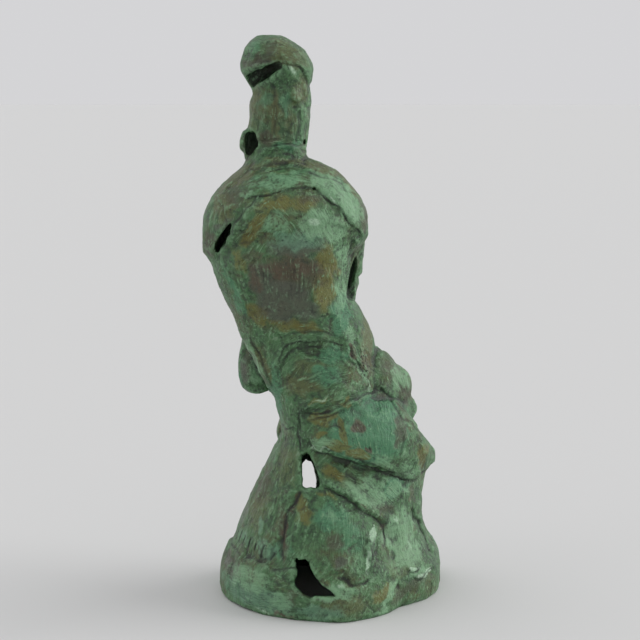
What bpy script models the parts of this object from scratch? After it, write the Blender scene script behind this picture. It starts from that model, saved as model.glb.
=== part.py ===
"""A hollow bronze figure of a woman in a tall cap, seen from behind.

The figure was built up in sheets of wax and cast in one. Soft masses are joined into one skin,
the lapped sheets and creases are raised on that skin, and the skirt is hollowed out from below.
It is one solid: the casting.

Metres, +Z up. +Y is the way the figure faces, +X is its right-hand side as seen from behind.
The origin is on the ground, at the middle of the figure's outline.
"""

import math
from collections import namedtuple

import bmesh
import bpy
import numpy as np
from mathutils import Matrix, Vector

# Driving sizes
HEIGHT = 0.400            # ground to the top of the cap
WALL = 0.0045             # wall of the hollow skirt

# Free form: the figures below are four-hundredths of the height, so millimetres at this size
UNIT = HEIGHT / 400

# How fine a skin is made before it is cut, and how many triangles are kept of it
SKIN_GRAIN = 0.0020
SKIN_SMOOTHING = 3
SKIN_TRIANGLES = 6600
CAVITY_TRIANGLES = 700
LOFT_SIDES = 40
LOFT_STEP = 5.0
BELOW_GROUND = 10.0
MIDDLE = (2.6, -0.6, 0)   # where the middle of the outline lies in the figures below

# A level cut through a mass: height, reach each way, and how far its left end is swung forward
Section = namedtuple("Section", "z left right back front swing", defaults=(0.0,))

SKIRT = (
    Section(-BELOW_GROUND, -72, 60, -74, 75, -0.20),
    Section(0, -72, 60, -74, 75, -0.20),
    Section(12, -72.5, 60, -74.5, 75, -0.20),
    Section(25, -69.3, 58.5, -73, 74, -0.18),
    Section(40, -61.5, 56, -68, 69, -0.14),
    Section(50, -59, 54, -64.5, 65, -0.12),
    Section(60, -54.8, 51, -61, 61, -0.10),
    Section(71, -50, 48, -56.5, 58, -0.07),
    Section(83, -44.5, 45, -52, 55, -0.05),
    Section(106, -33.6, 38, -45, 50, 0),
    Section(116, -27.5, 37, -43.5, 47, 0),
    Section(125, -27, 36, -43.5, 45, 0),
    Section(142, -28.5, 34, -40, 41, 0),
)

HIPS = (
    Section(112, -25, 32, -36, 42),
    Section(125, -27, 38, -44.5, 45),
    Section(142, -31.5, 40, -46, 43),
    Section(158, -38, 39, -45, 40),
    Section(172, -46.5, 37, -41, 38),
    Section(184, -52, 38.5, -39, 37),
    Section(196, -57, 33.5, -40, 37),
)

TORSO = (
    Section(178, -50, 38, -36, 34),
    Section(190, -56.5, 36.5, -38, 36),
    Section(207, -63, 28, -42, 38),
    Section(224, -71, 21, -46, 40),
    Section(241, -76, 21, -49, 42),
    Section(258, -68, 24, -50, 41),
    Section(272, -60, 21, -49, 38),
    Section(286, -52, 13, -46, 34),
    Section(298, -40, 2, -37, 28),
)

CAPE = (
    Section(242, -79, 16, -34, 32),
    Section(250, -82.5, 26, -41, 38),
    Section(258, -83.3, 29, -46, 41),
    Section(266, -82.5, 31.5, -49, 42),
    Section(278, -81, 31.5, -50, 41),
    Section(289, -75.8, 26.5, -46, 37),
    Section(299, -66.5, 18, -38, 31),
    Section(307, -55.5, 9.5, -30, 25),
    Section(314, -49, -9, -21, 19),
)

HEAD = (
    Section(300, -52, -6, -24, 22),
    Section(314, -48.5, -10, -21, 18),
    Section(328, -49.5, -9.5, -20, 17),
    Section(340, -49.5, -8, -21, 22),
    Section(352, -49, -7, -22, 25),
    Section(363, -46.8, -7, -23, 25),
    Section(374, -45, -9, -20, 21),
    Section(382, -38, -15, -12, 13),
)

CAP = (
    Section(363.5, -48, -9, -21, 21),
    Section(371, -53.5, -6, -26, 26),
    Section(379, -55.5, -5.5, -28, 28),
    Section(386, -54.5, -8, -28, 27),
    Section(392, -51.5, -13.5, -26, 25),
    Section(397, -48.5, -20, -22, 21),
    Section(400.4, -45, -27, -12, 11),
)

KNEE_FALL = (
    Section(-BELOW_GROUND, -5, 88, -49, 59, 0.58),
    Section(0, -5, 88, -49, 59, 0.58),
    Section(26, -5, 86, -50, 59, 0.56),
    Section(35, -5, 79.7, -48.5, 58.5, 0.54),
    Section(44, -5, 76, -46.5, 58, 0.52),
    Section(60, -5, 73, -43, 50, 0.50),
    Section(78, -6, 75, -39, 42, 0.48),
    Section(92, -6, 76, -37, 36, 0.46),
    Section(104, 0, 69, -30, 29, 0.44),
)

# A bent limb: its stations are x, y, z, half width across and half height
THIGH = ((-10, 0, 124, 36, 14), (10, -3, 123, 47, 23), (34, -1, 119, 42, 29),
         (55, 6, 106, 30, 20.5), (72, 14, 98.5, 16, 13), (82.5, 19, 98, 4, 6))
OTHER_THIGH = ((-4, 8, 122, 20, 16), (-9, 34, 115, 22, 19), (-14, 52, 106, 18, 17),
               (-16, 62, 98, 10, 11))
RIGHT_ARM = ((14, 2, 276, 14.5, 15), (18, 6, 258, 12.5, 14), (20, 10, 240, 10.5, 12),
             (17.5, 12, 221, 9, 13), (15, 8, 204, 10.3, 14), (20, 6, 184, 11, 14),
             (37.5, 10, 163, 14, 13), (50, 13, 147, 14.5, 14), (50, 16, 133, 11.5, 12),
             (50, 18, 121, 8, 8))
LEFT_ARM = ((-68, 0, 274, 13, 14), (-68, 6, 255, 13.5, 14), (-63, 16, 238, 12.5, 12),
            (-53, 24, 216, 10, 12), (-44, 27, 194, 10, 12), (-44.5, 24, 179, 12, 14),
            (-45, 22, 164, 14, 15), (-43.5, 22, 152, 14, 14), (-41.5, 22, 145, 10, 10))
NOSE = ((-29, 22, 363, 2.4, 2.4), (-29, 27, 356, 3.2, 3), (-29, 30.5, 350, 4.2, 3.4),
        (-29, 29, 347.5, 2.6, 2))
LEFT_FOREARM = ((-42, 24, 158, 14, 12), (-34, 40, 156, 12, 11), (-18, 52, 152, 11, 9),
                (-4, 54, 146, 12, 7), (6, 52, 140, 8, 5))

# An egg: centre, half sizes, and turns about X, Y and Z in degrees
Egg = namedtuple("Egg", "name centre radii turn", defaults=((0, 0, 0),))
EGGS = (
    Egg("chest left", (-46, 32, 258), (18, 14, 17), (0, 10, 0)),
    Egg("chest right", (-6, 32, 258), (18, 14, 17), (0, -10, 0)),
    Egg("collar flap", (-50, -3, 325.5), (6.2, 9, 10.5), (0, 4, 0)),
    Egg("chin", (-29, 20, 338), (11, 8, 7)),
    Egg("brow", (-29, 19.5, 362), (15, 6.5, 3.4)),
    Egg("lips", (-29, 26, 343), (6, 3.5, 2.5)),
    Egg("left eyelid", (-36, 20.5, 356), (4.2, 3.8, 2.2)),
    Egg("right eyelid", (-22, 20.5, 356), (4.2, 3.8, 2.2)),
    Egg("left cheek", (-39, 17, 347), (8, 8, 9)),
    Egg("right cheek", (-19, 17, 347), (8, 8, 9)),
    Egg("nape knob", (-17, -20, 358), (4, 4.5, 3)),
    Egg("side knob", (-9, -2, 357), (3, 8, 5)),
    Egg("cape corner", (26, -6, 260), (6, 18, 8), (0, 20, 0)),
    Egg("hip side", (36, 4, 152), (20, 24, 26), (0, 20, 0)),
    Egg("drape", (52, 11, 150), (14, 16, 16)),
    Egg("corner of the drape", (59.5, 12, 134), (10.5, 12, 8)),
    Egg("foot of the skirt", (12, -58, 8), (24, 21, 24)),
    Egg("lap", (4, 32, 126), (31, 24, 15)),
)

# What is raised or sunk along a line drawn as x and z on one side of the figure. The sheet on
# the left of the line, going along it, is lifted; the line itself may be a groove or a ridge.
Line = namedtuple("Line", "name side path lift fade sink width")
LINES = (
    Line("cape edge", "back", ((-52, 289), (-45, 291), (-31, 293), (-14, 295.3), (-4, 296), (2, 293),
                               (9, 285), (14, 280), (19, 274), (23, 267), (28, 261), (31, 257)),
         2.0, 18, 0.8, 1.6),
    Line("torso panel edge", "back", ((-46, 290), (-55, 278), (-61, 269), (-67, 259), (-73, 247)),
         1.8, 12, 0.6, 1.6),
    Line("waist fold", "back", ((-31, 160), (-28, 169), (-24, 178), (-19, 185), (-10, 188.6),
                                (0, 190), (10, 189), (19, 187)), 0.8, 8, 1.2, 1.8),
    Line("upper waist fold", "back", ((-28, 192), (-17, 197), (-7, 197.6), (7, 195.4), (18, 191.6)),
         0.0, 8, 0.8, 1.4),
    Line("strap", "back", ((-51, 192), (-45, 177), (-39, 166), (-34, 157), (-33, 148)),
         0.6, 8, -1.8, 2.2),
    Line("pitted ridge", "back", ((16, 198), (21, 185), (28, 173), (35, 163), (39, 153)),
         0.8, 10, -1.8, 2.6),
    Line("hip ridge", "back", ((-23, 139), (-10, 144.7), (7, 150), (17, 154), (25, 156.5), (36, 157)),
         0.6, 8, -1.3, 2.2),
    Line("thigh top", "back", ((42, 149), (35, 151), (24, 151), (17, 149), (7, 144.7), (-4, 141.8),
                               (-14, 137.6)), 1.2, 10, 1.0, 1.8),
    Line("thigh lip", "back", ((-6, 113), (0, 114), (7, 111.5), (21, 107.6), (35, 102.8), (46, 96.3),
                               (57, 89.5), (63, 87), (69, 88), (76, 91)), 3.6, 14, 1.2, 2.0),
    Line("skirt lap", "back", ((-1, 91), (5, 89), (14, 84), (24, 76), (33, 69), (40, 63.6),
                               (45, 59), (46, 48)), 2.6, 14, 1.0, 1.8),
    Line("left crease", "back", ((-12, 90), (-14, 82.5), (-19, 72.4), (-22.6, 62.6), (-25, 52.8),
                                 (-27, 43), (-26, 37)), 0.8, 10, 1.8, 2.2),
    Line("right crease", "back", ((64, 68), (69, 58), (73.3, 46), (79, 34), (83.5, 27)),
         1.2, 8, 2.2, 2.0),
    Line("hem", "back", ((-17, 40), (-22, 36.6), (-31, 35.5), (-40, 36), (-49, 38), (-56, 40.2),
                         (-63.5, 42), (-70, 46)), 1.0, 20, 0.6, 2.0),
    Line("skirt ridge", "back", ((38.5, 63), (36.5, 52), (34.7, 43), (33, 34)), 0.0, 8, -1.8, 2.0),
    Line("crease beside the ridge", "back", ((42.6, 57), (40, 48), (38, 37)), 0.0, 8, 1.6, 1.8),
    Line("pinch", "back", ((12, 33), (18.6, 29.3), (24, 27.3), (28, 28.5)), 0.0, 8, 2.2, 2.6),
    Line("front edge of the cape, left", "front", ((-27, 226), (-44, 240), (-66, 252), (-80, 262)),
         1.8, 18, 0.6, 1.8),
    Line("front edge of the cape, right", "front", ((32, 262), (16, 250), (-8, 240), (-27, 226)),
         1.8, 18, 0.6, 1.8),
    Line("front waist", "front", ((32, 186), (0, 178), (-30, 182), (-54, 196)), 1.0, 12, 0.8, 2.0),
    Line("front fold 1", "front", ((-32, 84), (-40, 50), (-48, 12)), 0.6, 10, 1.8, 3.0),
    Line("front fold 2", "front", ((6, 96), (10, 56), (6, 14)), 0.6, 10, 2.0, 3.4),
    Line("front fold 3", "front", ((34, 92), (42, 52), (46, 12)), 0.6, 10, -2.0, 3.4),
    Line("front hem", "front", ((84, 30), (40, 22), (0, 20), (-40, 26), (-70, 38)),
         1.4, 30, 0.6, 2.0),
)
BACK_REACH = 18           # how far the lines on one side go round towards the other
LINE_FADE = 6             # the length over which a line fades out at its ends and past that reach

# Openings drawn on the figure's back, as x and z
WINDOW = ((-12, 109.5), (-9.5, 111), (-7, 109.5), (-5.3, 105.5), (-3.2, 99.5), (-0.5, 93),
          (-0.2, 89), (-2, 87.6), (-9, 87.3), (-12, 89.5), (-13.2, 102))
MOUTH = ((-17.5, 41.5), (-7.5, 41), (-6.5, 38), (-4, 31.5), (0, 26), (7, 22), (11, 19), (10, 17.3),
         (3, 16.5), (-7, 16.8), (-13.5, 19.5), (-16.5, 25))
FRONT_GAP = ((-16, 65), (-16, 80), (-11, 88), (-7, 85), (-4, 76), (-3, 66), (-9, 60))


def scaled(point):
    """A point given in four-hundredths of the height, in metres."""
    return tuple(UNIT * value for value in point)


def eased(rows, at):
    """The columns of rows, read off a smooth curve at places `at` of their first column."""
    rows = np.array(rows, float)
    place = rows[:, 0]
    slope = np.gradient(rows, place, axis=0)
    at = np.asarray(at, float)
    i = np.clip(np.searchsorted(place, at) - 1, 0, len(place) - 2)
    span = (place[i + 1] - place[i])[:, None]
    t = (at - place[i])[:, None] / span
    start = (2 * t**3 - 3 * t**2 + 1) * rows[i] + (t**3 - 2 * t**2 + t) * span * slope[i]
    end = (3 * t**2 - 2 * t**3) * rows[i + 1] + (t**3 - t**2) * span * slope[i + 1]
    return start + end


def superellipse(sides, power):
    """Unit outline between a circle (power 2) and a square, as rows of two."""
    angle = np.linspace(0, 2 * math.pi, sides, endpoint=False)
    both = np.stack([np.cos(angle), np.sin(angle)], axis=1)
    return np.sign(both) * abs(both) ** (2 / power)


def mesh_object(name, bm):
    """A new object that holds the bmesh, which is freed."""
    mesh = bpy.data.meshes.new(name)
    bm.to_mesh(mesh)
    bm.free()
    obj = bpy.data.objects.new(name, mesh)
    bpy.context.scene.collection.objects.link(obj)
    return obj


def skin_over(name, rings):
    """A closed mesh over a stack of rings of equal length, capped at both ends."""
    bm = bmesh.new()
    rows = [[bm.verts.new(point) for point in ring] for ring in rings]
    for low, high in zip(rows, rows[1:]):
        for k in range(len(low)):
            n = (k + 1) % len(low)
            bm.faces.new((low[k], low[n], high[n], high[k]))
    bm.faces.new(rows[0][::-1])
    bm.faces.new(rows[-1])
    bmesh.ops.recalc_face_normals(bm, faces=bm.faces)
    return mesh_object(name, bm)


def stack(name, sections, power=2.2, inset=0.0):
    """A mass lofted over level sections, drawn in by `inset` metres all round."""
    steps = max(2, round((sections[-1].z - sections[0].z) / LOFT_STEP))
    heights = np.linspace(sections[0].z, sections[-1].z, steps + 1)
    outline = superellipse(LOFT_SIDES, power)
    rings = []
    for z, left, right, back, front, swing in eased(sections, heights):
        half = UNIT * np.array([(right - left) / 2, (front - back) / 2]) - inset
        middle = UNIT * np.array([(right + left) / 2, (front + back) / 2])
        flat = outline * half
        flat[:, 1] += swing * flat[:, 0]
        rings.append([(x, y, UNIT * z) for x, y in flat + middle])
    return skin_over(name, rings)


def limb(name, stations, power=2.2, sides=24, inset=0.0):
    """A mass along a bent path, drawn in by `inset` metres all round."""
    count = len(stations)
    at = np.linspace(0, count - 1, 5 * (count - 1) + 1)
    rows = UNIT * eased([(k, *s) for k, s in enumerate(stations)], at)[:, 1:]
    path, sizes = rows[:, :3], np.maximum(rows[:, 3:] - inset, UNIT)
    outline = superellipse(sides, power)
    upright = Vector((0, 1, 0)) if abs(path[-1] - path[0]).argmax() == 2 else Vector((0, 0, 1))
    run = np.concatenate([[0], np.cumsum(np.linalg.norm(np.diff(path, axis=0), axis=1))])
    kept = (run >= inset) & (run <= run[-1] - inset)
    rings = []
    for centre, direction, (across, tall) in zip(
        path[kept], np.gradient(path, axis=0)[kept], sizes[kept]
    ):
        direction = Vector(direction).normalized()
        side = direction.cross(upright).normalized()
        top = side.cross(direction)
        rings.append([Vector(centre) + side * a * across + top * b * tall for a, b in outline])
    return skin_over(name, rings)


def egg(name, centre, radii, turn=(0, 0, 0)):
    """An egg-shaped mass, turned by degrees about X, Y and Z."""
    bm = bmesh.new()
    bmesh.ops.create_uvsphere(bm, u_segments=20, v_segments=14, radius=1)
    place = Matrix.Translation(scaled(centre))
    for axis, degrees in zip("ZYX", reversed(turn)):
        place @= Matrix.Rotation(math.radians(degrees), 4, axis)
    bm.transform(place @ Matrix.Diagonal((*scaled(radii), 1)))
    return mesh_object(name, bm)


def block(name, low, high):
    """A box-shaped cutter between two corners."""
    bm = bmesh.new()
    bmesh.ops.create_cube(bm, size=1)
    low, high = Vector(scaled(low)), Vector(scaled(high))
    bm.transform(Matrix.Translation((low + high) / 2) @ Matrix.Diagonal((*(high - low), 1)))
    return mesh_object(name, bm)


def prism(name, outline, y_from, y_to):
    """A cutter over an outline of x and z, run through from one depth to another."""
    rings = [[scaled((x, y, z)) for x, z in outline] for y in (y_from, y_to)]
    return skin_over(name, rings)


def joined(name, pieces, grain=SKIN_GRAIN, smoothing=SKIN_SMOOTHING):
    """One closed skin over overlapping pieces, which are removed."""
    bm = bmesh.new()
    for piece in pieces:
        bm.from_mesh(piece.data)
        bpy.data.objects.remove(piece)
    shell = mesh_object(name, bm)
    remesh = shell.modifiers.new("one skin", "REMESH")
    remesh.mode = "VOXEL"
    remesh.voxel_size = grain
    soften = shell.modifiers.new("soften", "SMOOTH")
    soften.factor = 0.5
    soften.iterations = smoothing
    graph = bpy.context.evaluated_depsgraph_get()
    shell.data = bpy.data.meshes.new_from_object(shell.evaluated_get(graph))
    shell.modifiers.clear()
    return shell


def thinned(obj, triangles):
    """The object, with about this many triangles kept of its mesh."""
    keep = obj.modifiers.new("keep", "DECIMATE")
    keep.ratio = triangles / (2 * len(obj.data.polygons))
    keep.use_collapse_triangulate = True
    graph = bpy.context.evaluated_depsgraph_get()
    obj.data = bpy.data.meshes.new_from_object(obj.evaluated_get(graph))
    obj.modifiers.clear()
    return obj


def side_of(path, spots):
    """How far each spot lies left of the path, and how near it is to the path's two ends."""
    path = np.array(path, float)
    lengths = np.linalg.norm(np.diff(path, axis=0), axis=1)
    run = np.concatenate([[0], np.cumsum(lengths)])
    nearest = np.full(len(spots), np.inf)
    signed = np.zeros(len(spots))
    inside = np.zeros(len(spots))
    for start, end, length, before in zip(path, path[1:], lengths, run):
        along = (end - start) / length
        off = spots - start
        t = np.clip(off @ along, 0, length)
        distance = np.linalg.norm(off - t[:, None] * along, axis=1)
        left = along[0] * off[:, 1] - along[1] * off[:, 0]
        closer = distance < nearest
        nearest[closer] = distance[closer]
        signed[closer] = (np.sign(left) * distance)[closer]
        inside[closer] = np.minimum(t + before, run[-1] - t - before)[closer]
    return signed, inside


def step_up(value):
    """A smooth step from 0 to 1 as the value goes from 0 to 1."""
    value = np.clip(value, 0, 1)
    return value * value * (3 - 2 * value)


def modelled(obj, lines):
    """The object with its skin raised and sunk along the lines."""
    mesh = obj.data
    count = len(mesh.vertices)
    points, normals = np.empty(3 * count), np.empty(3 * count)
    mesh.vertices.foreach_get("co", points)
    mesh.vertices.foreach_get("normal", normals)
    points, normals = points.reshape(-1, 3) / UNIT, normals.reshape(-1, 3)
    height = np.zeros(count)
    for line in lines:
        facing = -1 if line.side == "back" else 1
        on_side = step_up((facing * normals[:, 1] + 0.2) / 0.3)
        on_side *= step_up((facing * points[:, 1] + BACK_REACH) / LINE_FADE)
        signed, inside = side_of(line.path, points[:, ::2])
        ends = step_up(inside / LINE_FADE)
        lap = step_up(signed / line.width) * np.exp(-np.maximum(signed, 0) / line.fade)
        crease = np.exp(-(signed / line.width) ** 2)
        height += on_side * ends * (line.lift * lap - line.sink * crease)
    moved = points + normals * height[:, None]
    mesh.vertices.foreach_set("co", (UNIT * moved).ravel())
    mesh.update()
    return obj


def masses(inset=0.0):
    """The large masses of the figure; the hollow ones are drawn in by `inset` for the cavity."""
    hollow = [
        stack("skirt", SKIRT, 2.1, inset),
        stack("hips", HIPS, 2.3, inset),
        stack("fall from the knee", KNEE_FALL, 3.0, inset),
        limb("thigh", THIGH, 2.5, inset=inset),
        limb("other thigh", OTHER_THIGH, 2.2, inset=inset),
    ]
    if inset:
        return hollow
    return hollow + [
        stack("torso", TORSO, 2.3),
        stack("cape", CAPE, 2.2),
        stack("head", HEAD, 2.2),
        stack("cap", CAP, 2.2),
        limb("right arm", RIGHT_ARM),
        limb("left arm", LEFT_ARM),
        limb("left forearm", LEFT_FOREARM),
        limb("nose", NOSE),
    ] + [egg(*item) for item in EGGS]


def cutters():
    """What is cut out of the skin, in the order of the cuts."""
    cavity = thinned(joined("cavity", masses(WALL), grain=0.003), CAVITY_TRIANGLES)
    return [
        cavity,
        block("ground", (-120, -120, -40), (120, 120, 0)),
        prism("window", WINDOW, -80, -20),
        prism("front gap", FRONT_GAP, 25, 90),
        prism("mouth", MOUTH, -100, -45),
        egg("left arm slit", (-67, -30, 261), (10, 26, 2.8), (0, -54, 0)),
        egg("right arm slit", (22.5, -12, 231), (16, 26, 3), (0, -78, 0)),
        egg("collar hollow", (-47.8, -12, 325), (4.6, 12, 8.8), (0, 10, 0)),
        egg("cap hollow", (-39, -27, 373), (15, 25, 5), (0, -32, 0)),
        egg("slit over the window", (-13.8, -44, 129), (1.5, 9, 12)),
    ]


def bronze_material():
    """Green bronze."""
    material = bpy.data.materials.new("verdigris bronze")
    material.use_nodes = True
    surface = material.node_tree.nodes["Principled BSDF"]
    surface.inputs["Base Color"].default_value = (0.10, 0.26, 0.17, 1)
    surface.inputs["Metallic"].default_value = 0.3
    surface.inputs["Roughness"].default_value = 0.65
    return material


def build():
    """The casting, with its cutters kept beside it."""
    for obj in list(bpy.data.objects):
        bpy.data.objects.remove(obj)
    skin = modelled(joined("bronze_figure", masses()), LINES)
    figure = thinned(skin, SKIN_TRIANGLES)
    figure.data.materials.append(bronze_material())
    home = bpy.data.collections.new("abstract bronze sculpture")
    aside = bpy.data.collections.new("cutters")
    for group in (home, aside):
        bpy.context.scene.collection.children.link(group)
    tools = cutters()
    to_origin = Matrix.Translation(-Vector(scaled(MIDDLE)))
    for obj in [figure, *tools]:
        obj.data.transform(to_origin)
        for group in obj.users_collection:
            group.objects.unlink(obj)
    home.objects.link(figure)
    for tool in tools:
        aside.objects.link(tool)
        tool.hide_render = True
        tool.display_type = "WIRE"
        cut = figure.modifiers.new(tool.name, "BOOLEAN")
        cut.operation = "DIFFERENCE"
        cut.solver = "EXACT"
        cut.object = tool
    for face in figure.data.polygons:
        face.use_smooth = True


if __name__ == "__main__":
    build()
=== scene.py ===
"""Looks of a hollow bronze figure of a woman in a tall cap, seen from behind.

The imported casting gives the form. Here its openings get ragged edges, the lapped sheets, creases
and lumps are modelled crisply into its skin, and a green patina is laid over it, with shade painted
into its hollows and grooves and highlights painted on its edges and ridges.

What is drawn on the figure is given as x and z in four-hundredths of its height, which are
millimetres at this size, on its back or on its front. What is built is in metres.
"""

import logging
import math
from dataclasses import dataclass, field
from enum import Enum

import bmesh
import bpy
import numpy as np
from bpy.types import Material, Mesh, Node, NodeTree, Object
from bpy.types import NodeSocket as Socket
from mathutils import Euler, Matrix, Vector
from mathutils.bvhtree import BVHTree
from mathutils.kdtree import KDTree


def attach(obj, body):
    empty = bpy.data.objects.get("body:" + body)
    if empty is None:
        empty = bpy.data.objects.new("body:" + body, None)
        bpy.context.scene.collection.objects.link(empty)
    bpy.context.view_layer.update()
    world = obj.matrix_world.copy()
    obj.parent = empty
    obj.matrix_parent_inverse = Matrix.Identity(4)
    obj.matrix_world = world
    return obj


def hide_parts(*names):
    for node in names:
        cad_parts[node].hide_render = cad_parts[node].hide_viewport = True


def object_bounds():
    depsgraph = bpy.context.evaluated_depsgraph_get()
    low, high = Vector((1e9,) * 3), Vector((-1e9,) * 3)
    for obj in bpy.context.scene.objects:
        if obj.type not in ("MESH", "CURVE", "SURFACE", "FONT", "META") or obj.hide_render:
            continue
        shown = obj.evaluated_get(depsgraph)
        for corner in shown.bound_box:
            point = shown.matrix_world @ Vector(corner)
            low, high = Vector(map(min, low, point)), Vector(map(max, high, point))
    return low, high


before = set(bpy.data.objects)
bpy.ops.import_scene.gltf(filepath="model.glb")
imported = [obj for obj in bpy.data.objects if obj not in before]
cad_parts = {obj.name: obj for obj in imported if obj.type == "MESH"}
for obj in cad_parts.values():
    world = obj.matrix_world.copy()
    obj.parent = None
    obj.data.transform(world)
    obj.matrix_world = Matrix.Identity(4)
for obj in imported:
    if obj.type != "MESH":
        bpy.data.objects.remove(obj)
CAD_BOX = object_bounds()
log = logging.getLogger("bronze figure")

NODE = "bronze_figure"
BODY = "root"
DRAWN_HEIGHT = 400.4                                  # the figure's height in drawing units
UNIT = (CAD_BOX[1].z - CAD_BOX[0].z) / DRAWN_HEIGHT   # one drawing unit in metres
DRAWING_AXIS = np.array((-2.6, 0.6, 0.0))             # where the drawing's upright axis stands
MANY_CORNERS = 14                                     # a path with more needs no smoothing

Points = tuple[tuple[float, float], ...]
Number = Socket | float                               # an output of a node, or a plain value
Shade = Socket | tuple                                # the same for colours


class Side(Enum):
    """The side of the figure that a mark is drawn on."""

    BACK = -1
    FRONT = 1


class Tint(Enum):
    """A colour that lies in patches: the patina's own, and for the pale one also painted highlight."""

    OCHRE = "ochre"
    UMBER = "umber"
    SLATE = "slate"
    OLIVE = "olive"
    TEAL = "teal"
    ICE = "ice"
    MINT = "mint"
    # pale patina, and painted highlights on ridges, flakes and edges
    PALE = "pale"
    BARE = "bare"


FRONT_SHARES = {Tint.OLIVE: 0.9, Tint.UMBER: 0.6, Tint.TEAL: 0.9, Tint.OCHRE: 0.6, Tint.SLATE: 0.4,
                Tint.ICE: 0.4, Tint.MINT: 0.5}        # how strong a tint's patches are in front


@dataclass(frozen=True)
class Seam:
    """A line in the skin: a lapped sheet's edge, a groove, or a ridge where `sink` is negative.

    The sheet on the left of the path, going along it, is lifted by `lift`, which fades over `fade`.
    """

    name: str
    path: Points
    lift: float = 0.0
    fade: float = 5.0
    sink: float = 0.0
    width: float = 0.9
    side: Side = Side.BACK

    def line(self) -> np.ndarray:
        """The path's points, smoothed where it has few corners."""
        return smooth_line(self.path, 1 if len(self.path) > MANY_CORNERS else 5)


@dataclass(frozen=True)
class Comb:
    """Fine tool marks, some sunk and some raised, spread from one guide line to another."""

    name: str
    first: Points
    last: Points
    count: int
    depth: float = 0.25
    width: float = 0.7
    side: Side = Side.BACK

    def seams(self) -> list[Seam]:
        """Draws the marks one by one, each over a random run of its way.

        Returns:
            The marks.
        """
        random = np.random.default_rng(len(self.name) + self.count)
        first, last = smooth_line(self.first), smooth_line(self.last)
        marks = []
        for k in range(self.count):
            share = (k + random.uniform(0.1, 0.9)) / self.count
            way = (1 - share) * first + share * last
            start = random.uniform(0, 0.45) * (len(way) - 1)
            end = random.uniform(0.6, 1.0) * (len(way) - 1)
            at = np.linspace(start, end, max(3, round(end - start)))
            path = np.stack([np.interp(at, np.arange(len(way)), column) for column in way.T], axis=1)
            sink = self.depth * random.uniform(0.5, 1.2) * random.choice((1, -1))
            marks.append(Seam(self.name, tuple(map(tuple, path)), sink=sink, width=self.width,
                              side=self.side))
        return marks

    def place_in(self, spots: np.ndarray) -> tuple[np.ndarray, np.ndarray, np.ndarray]:
        """Reads where spots lie between the two guide lines.

        Args:
            spots: The spots, as rows of two.

        Returns:
            How far each spot lies across the marks and along them, in drawing units, and how
            fully it is inside, from 0 to 1.
        """
        first, last = smooth_line(self.first, 8), smooth_line(self.last, 8)
        shares = np.linspace(0, 1, 9)
        grid = first + shares[:, None, None] * (last - first)
        steps = np.gradient(grid, axis=1)
        flat = grid.reshape(-1, 2)
        nearest = np.concatenate([
            ((part[:, None] - flat) ** 2).sum(2).argmin(1) for part in np.array_split(spots, 40)])
        row, column = np.divmod(nearest, len(first))
        over, on = (last - first)[column], steps[row, column]
        off = spots - flat[nearest]
        area = over[:, 0] * on[:, 1] - over[:, 1] * on[:, 0]
        share = shares[row] + (off[:, 0] * on[:, 1] - off[:, 1] * on[:, 0]) / area
        way = column + (over[:, 0] * off[:, 1] - over[:, 1] * off[:, 0]) / area
        run = way / (len(first) - 1)
        inside = step_up((np.minimum(share, 1 - share) + 0.2) / 0.25)
        inside *= step_up((np.minimum(run, 1 - run) + 0.15) / 0.25)
        across = share * np.linalg.norm(last - first, axis=1).mean()
        along = way * np.linalg.norm(steps, axis=2).mean()
        return across, along, inside


@dataclass(frozen=True)
class Swell:
    """A soft lump, or a dent where `height` is negative."""

    name: str
    centre: tuple[float, float]
    reach: tuple[float, float]
    height: float
    turn: float = 0.0
    edge: float = 1.0
    side: Side = Side.BACK


@dataclass(frozen=True)
class Patch:
    """A patch of one tint of the patina."""

    tint: Tint
    centre: tuple[float, float]
    reach: tuple[float, float]
    strength: float = 1.0
    turn: float = 0.0
    side: Side = Side.BACK


@dataclass(frozen=True)
class Hole:
    """An opening with a ragged outline, cut from one depth to another."""

    name: str
    outline: Points
    near: float
    far: float


@dataclass(frozen=True)
class Egg:
    """An egg-shaped hollow or lump, turned about Y by degrees."""

    name: str
    centre: tuple[float, float, float]
    radii: tuple[float, float, float]
    turn: float = 0.0


def step_up(value: np.ndarray) -> np.ndarray:
    """A smooth step from 0 to 1 as the value goes from 0 to 1."""
    value = np.clip(value, 0, 1)
    return value * value * (3 - 2 * value)


def smooth_line(path: Points, per_run: int = 6) -> np.ndarray:
    """Reads a smooth curve through the corners of a path.

    Args:
        path: The corners.
        per_run: How many points to read between two corners.

    Returns:
        The points, as rows of two.
    """
    corners = np.array(path, float)
    if len(corners) < 3:
        return corners
    lengths = np.linalg.norm(np.diff(corners, axis=0), axis=1)
    place = np.concatenate([[0], np.cumsum(lengths)])
    slope = np.gradient(corners, place, axis=0)
    at = np.interp(np.linspace(0, len(place) - 1, per_run * (len(place) - 1) + 1),
                   np.arange(len(place)), place)
    i = np.clip(np.searchsorted(place, at) - 1, 0, len(place) - 2)
    span = (place[i + 1] - place[i])[:, None]
    t = (at - place[i])[:, None] / span
    start = (2 * t**3 - 3 * t**2 + 1) * corners[i] + (t**3 - 2 * t**2 + t) * span * slope[i]
    end = (3 * t**2 - 2 * t**3) * corners[i + 1] + (t**3 - t**2) * span * slope[i + 1]
    return start + end


def waves(points: np.ndarray, size: float, seed: int, count: int = 24) -> np.ndarray:
    """Smooth noise of about unit height.

    Args:
        points: The places, as rows.
        size: The usual length of a wave, in the points' units.
        seed: Which noise.
        count: How many waves are added up.

    Returns:
        One value for each place.
    """
    random = np.random.default_rng(seed)
    directions = random.normal(size=(count, points.shape[1]))
    directions /= np.linalg.norm(directions, axis=1)[:, None]
    pace = random.uniform(0.6, 1.7, count) * 2 * math.pi / size
    phase = random.uniform(0, 2 * math.pi, count)
    total = np.zeros(len(points))
    for direction, turns, start in zip(directions, pace, phase):
        total += np.sin(points @ direction * turns + start)
    return total * math.sqrt(2 / count)


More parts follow.
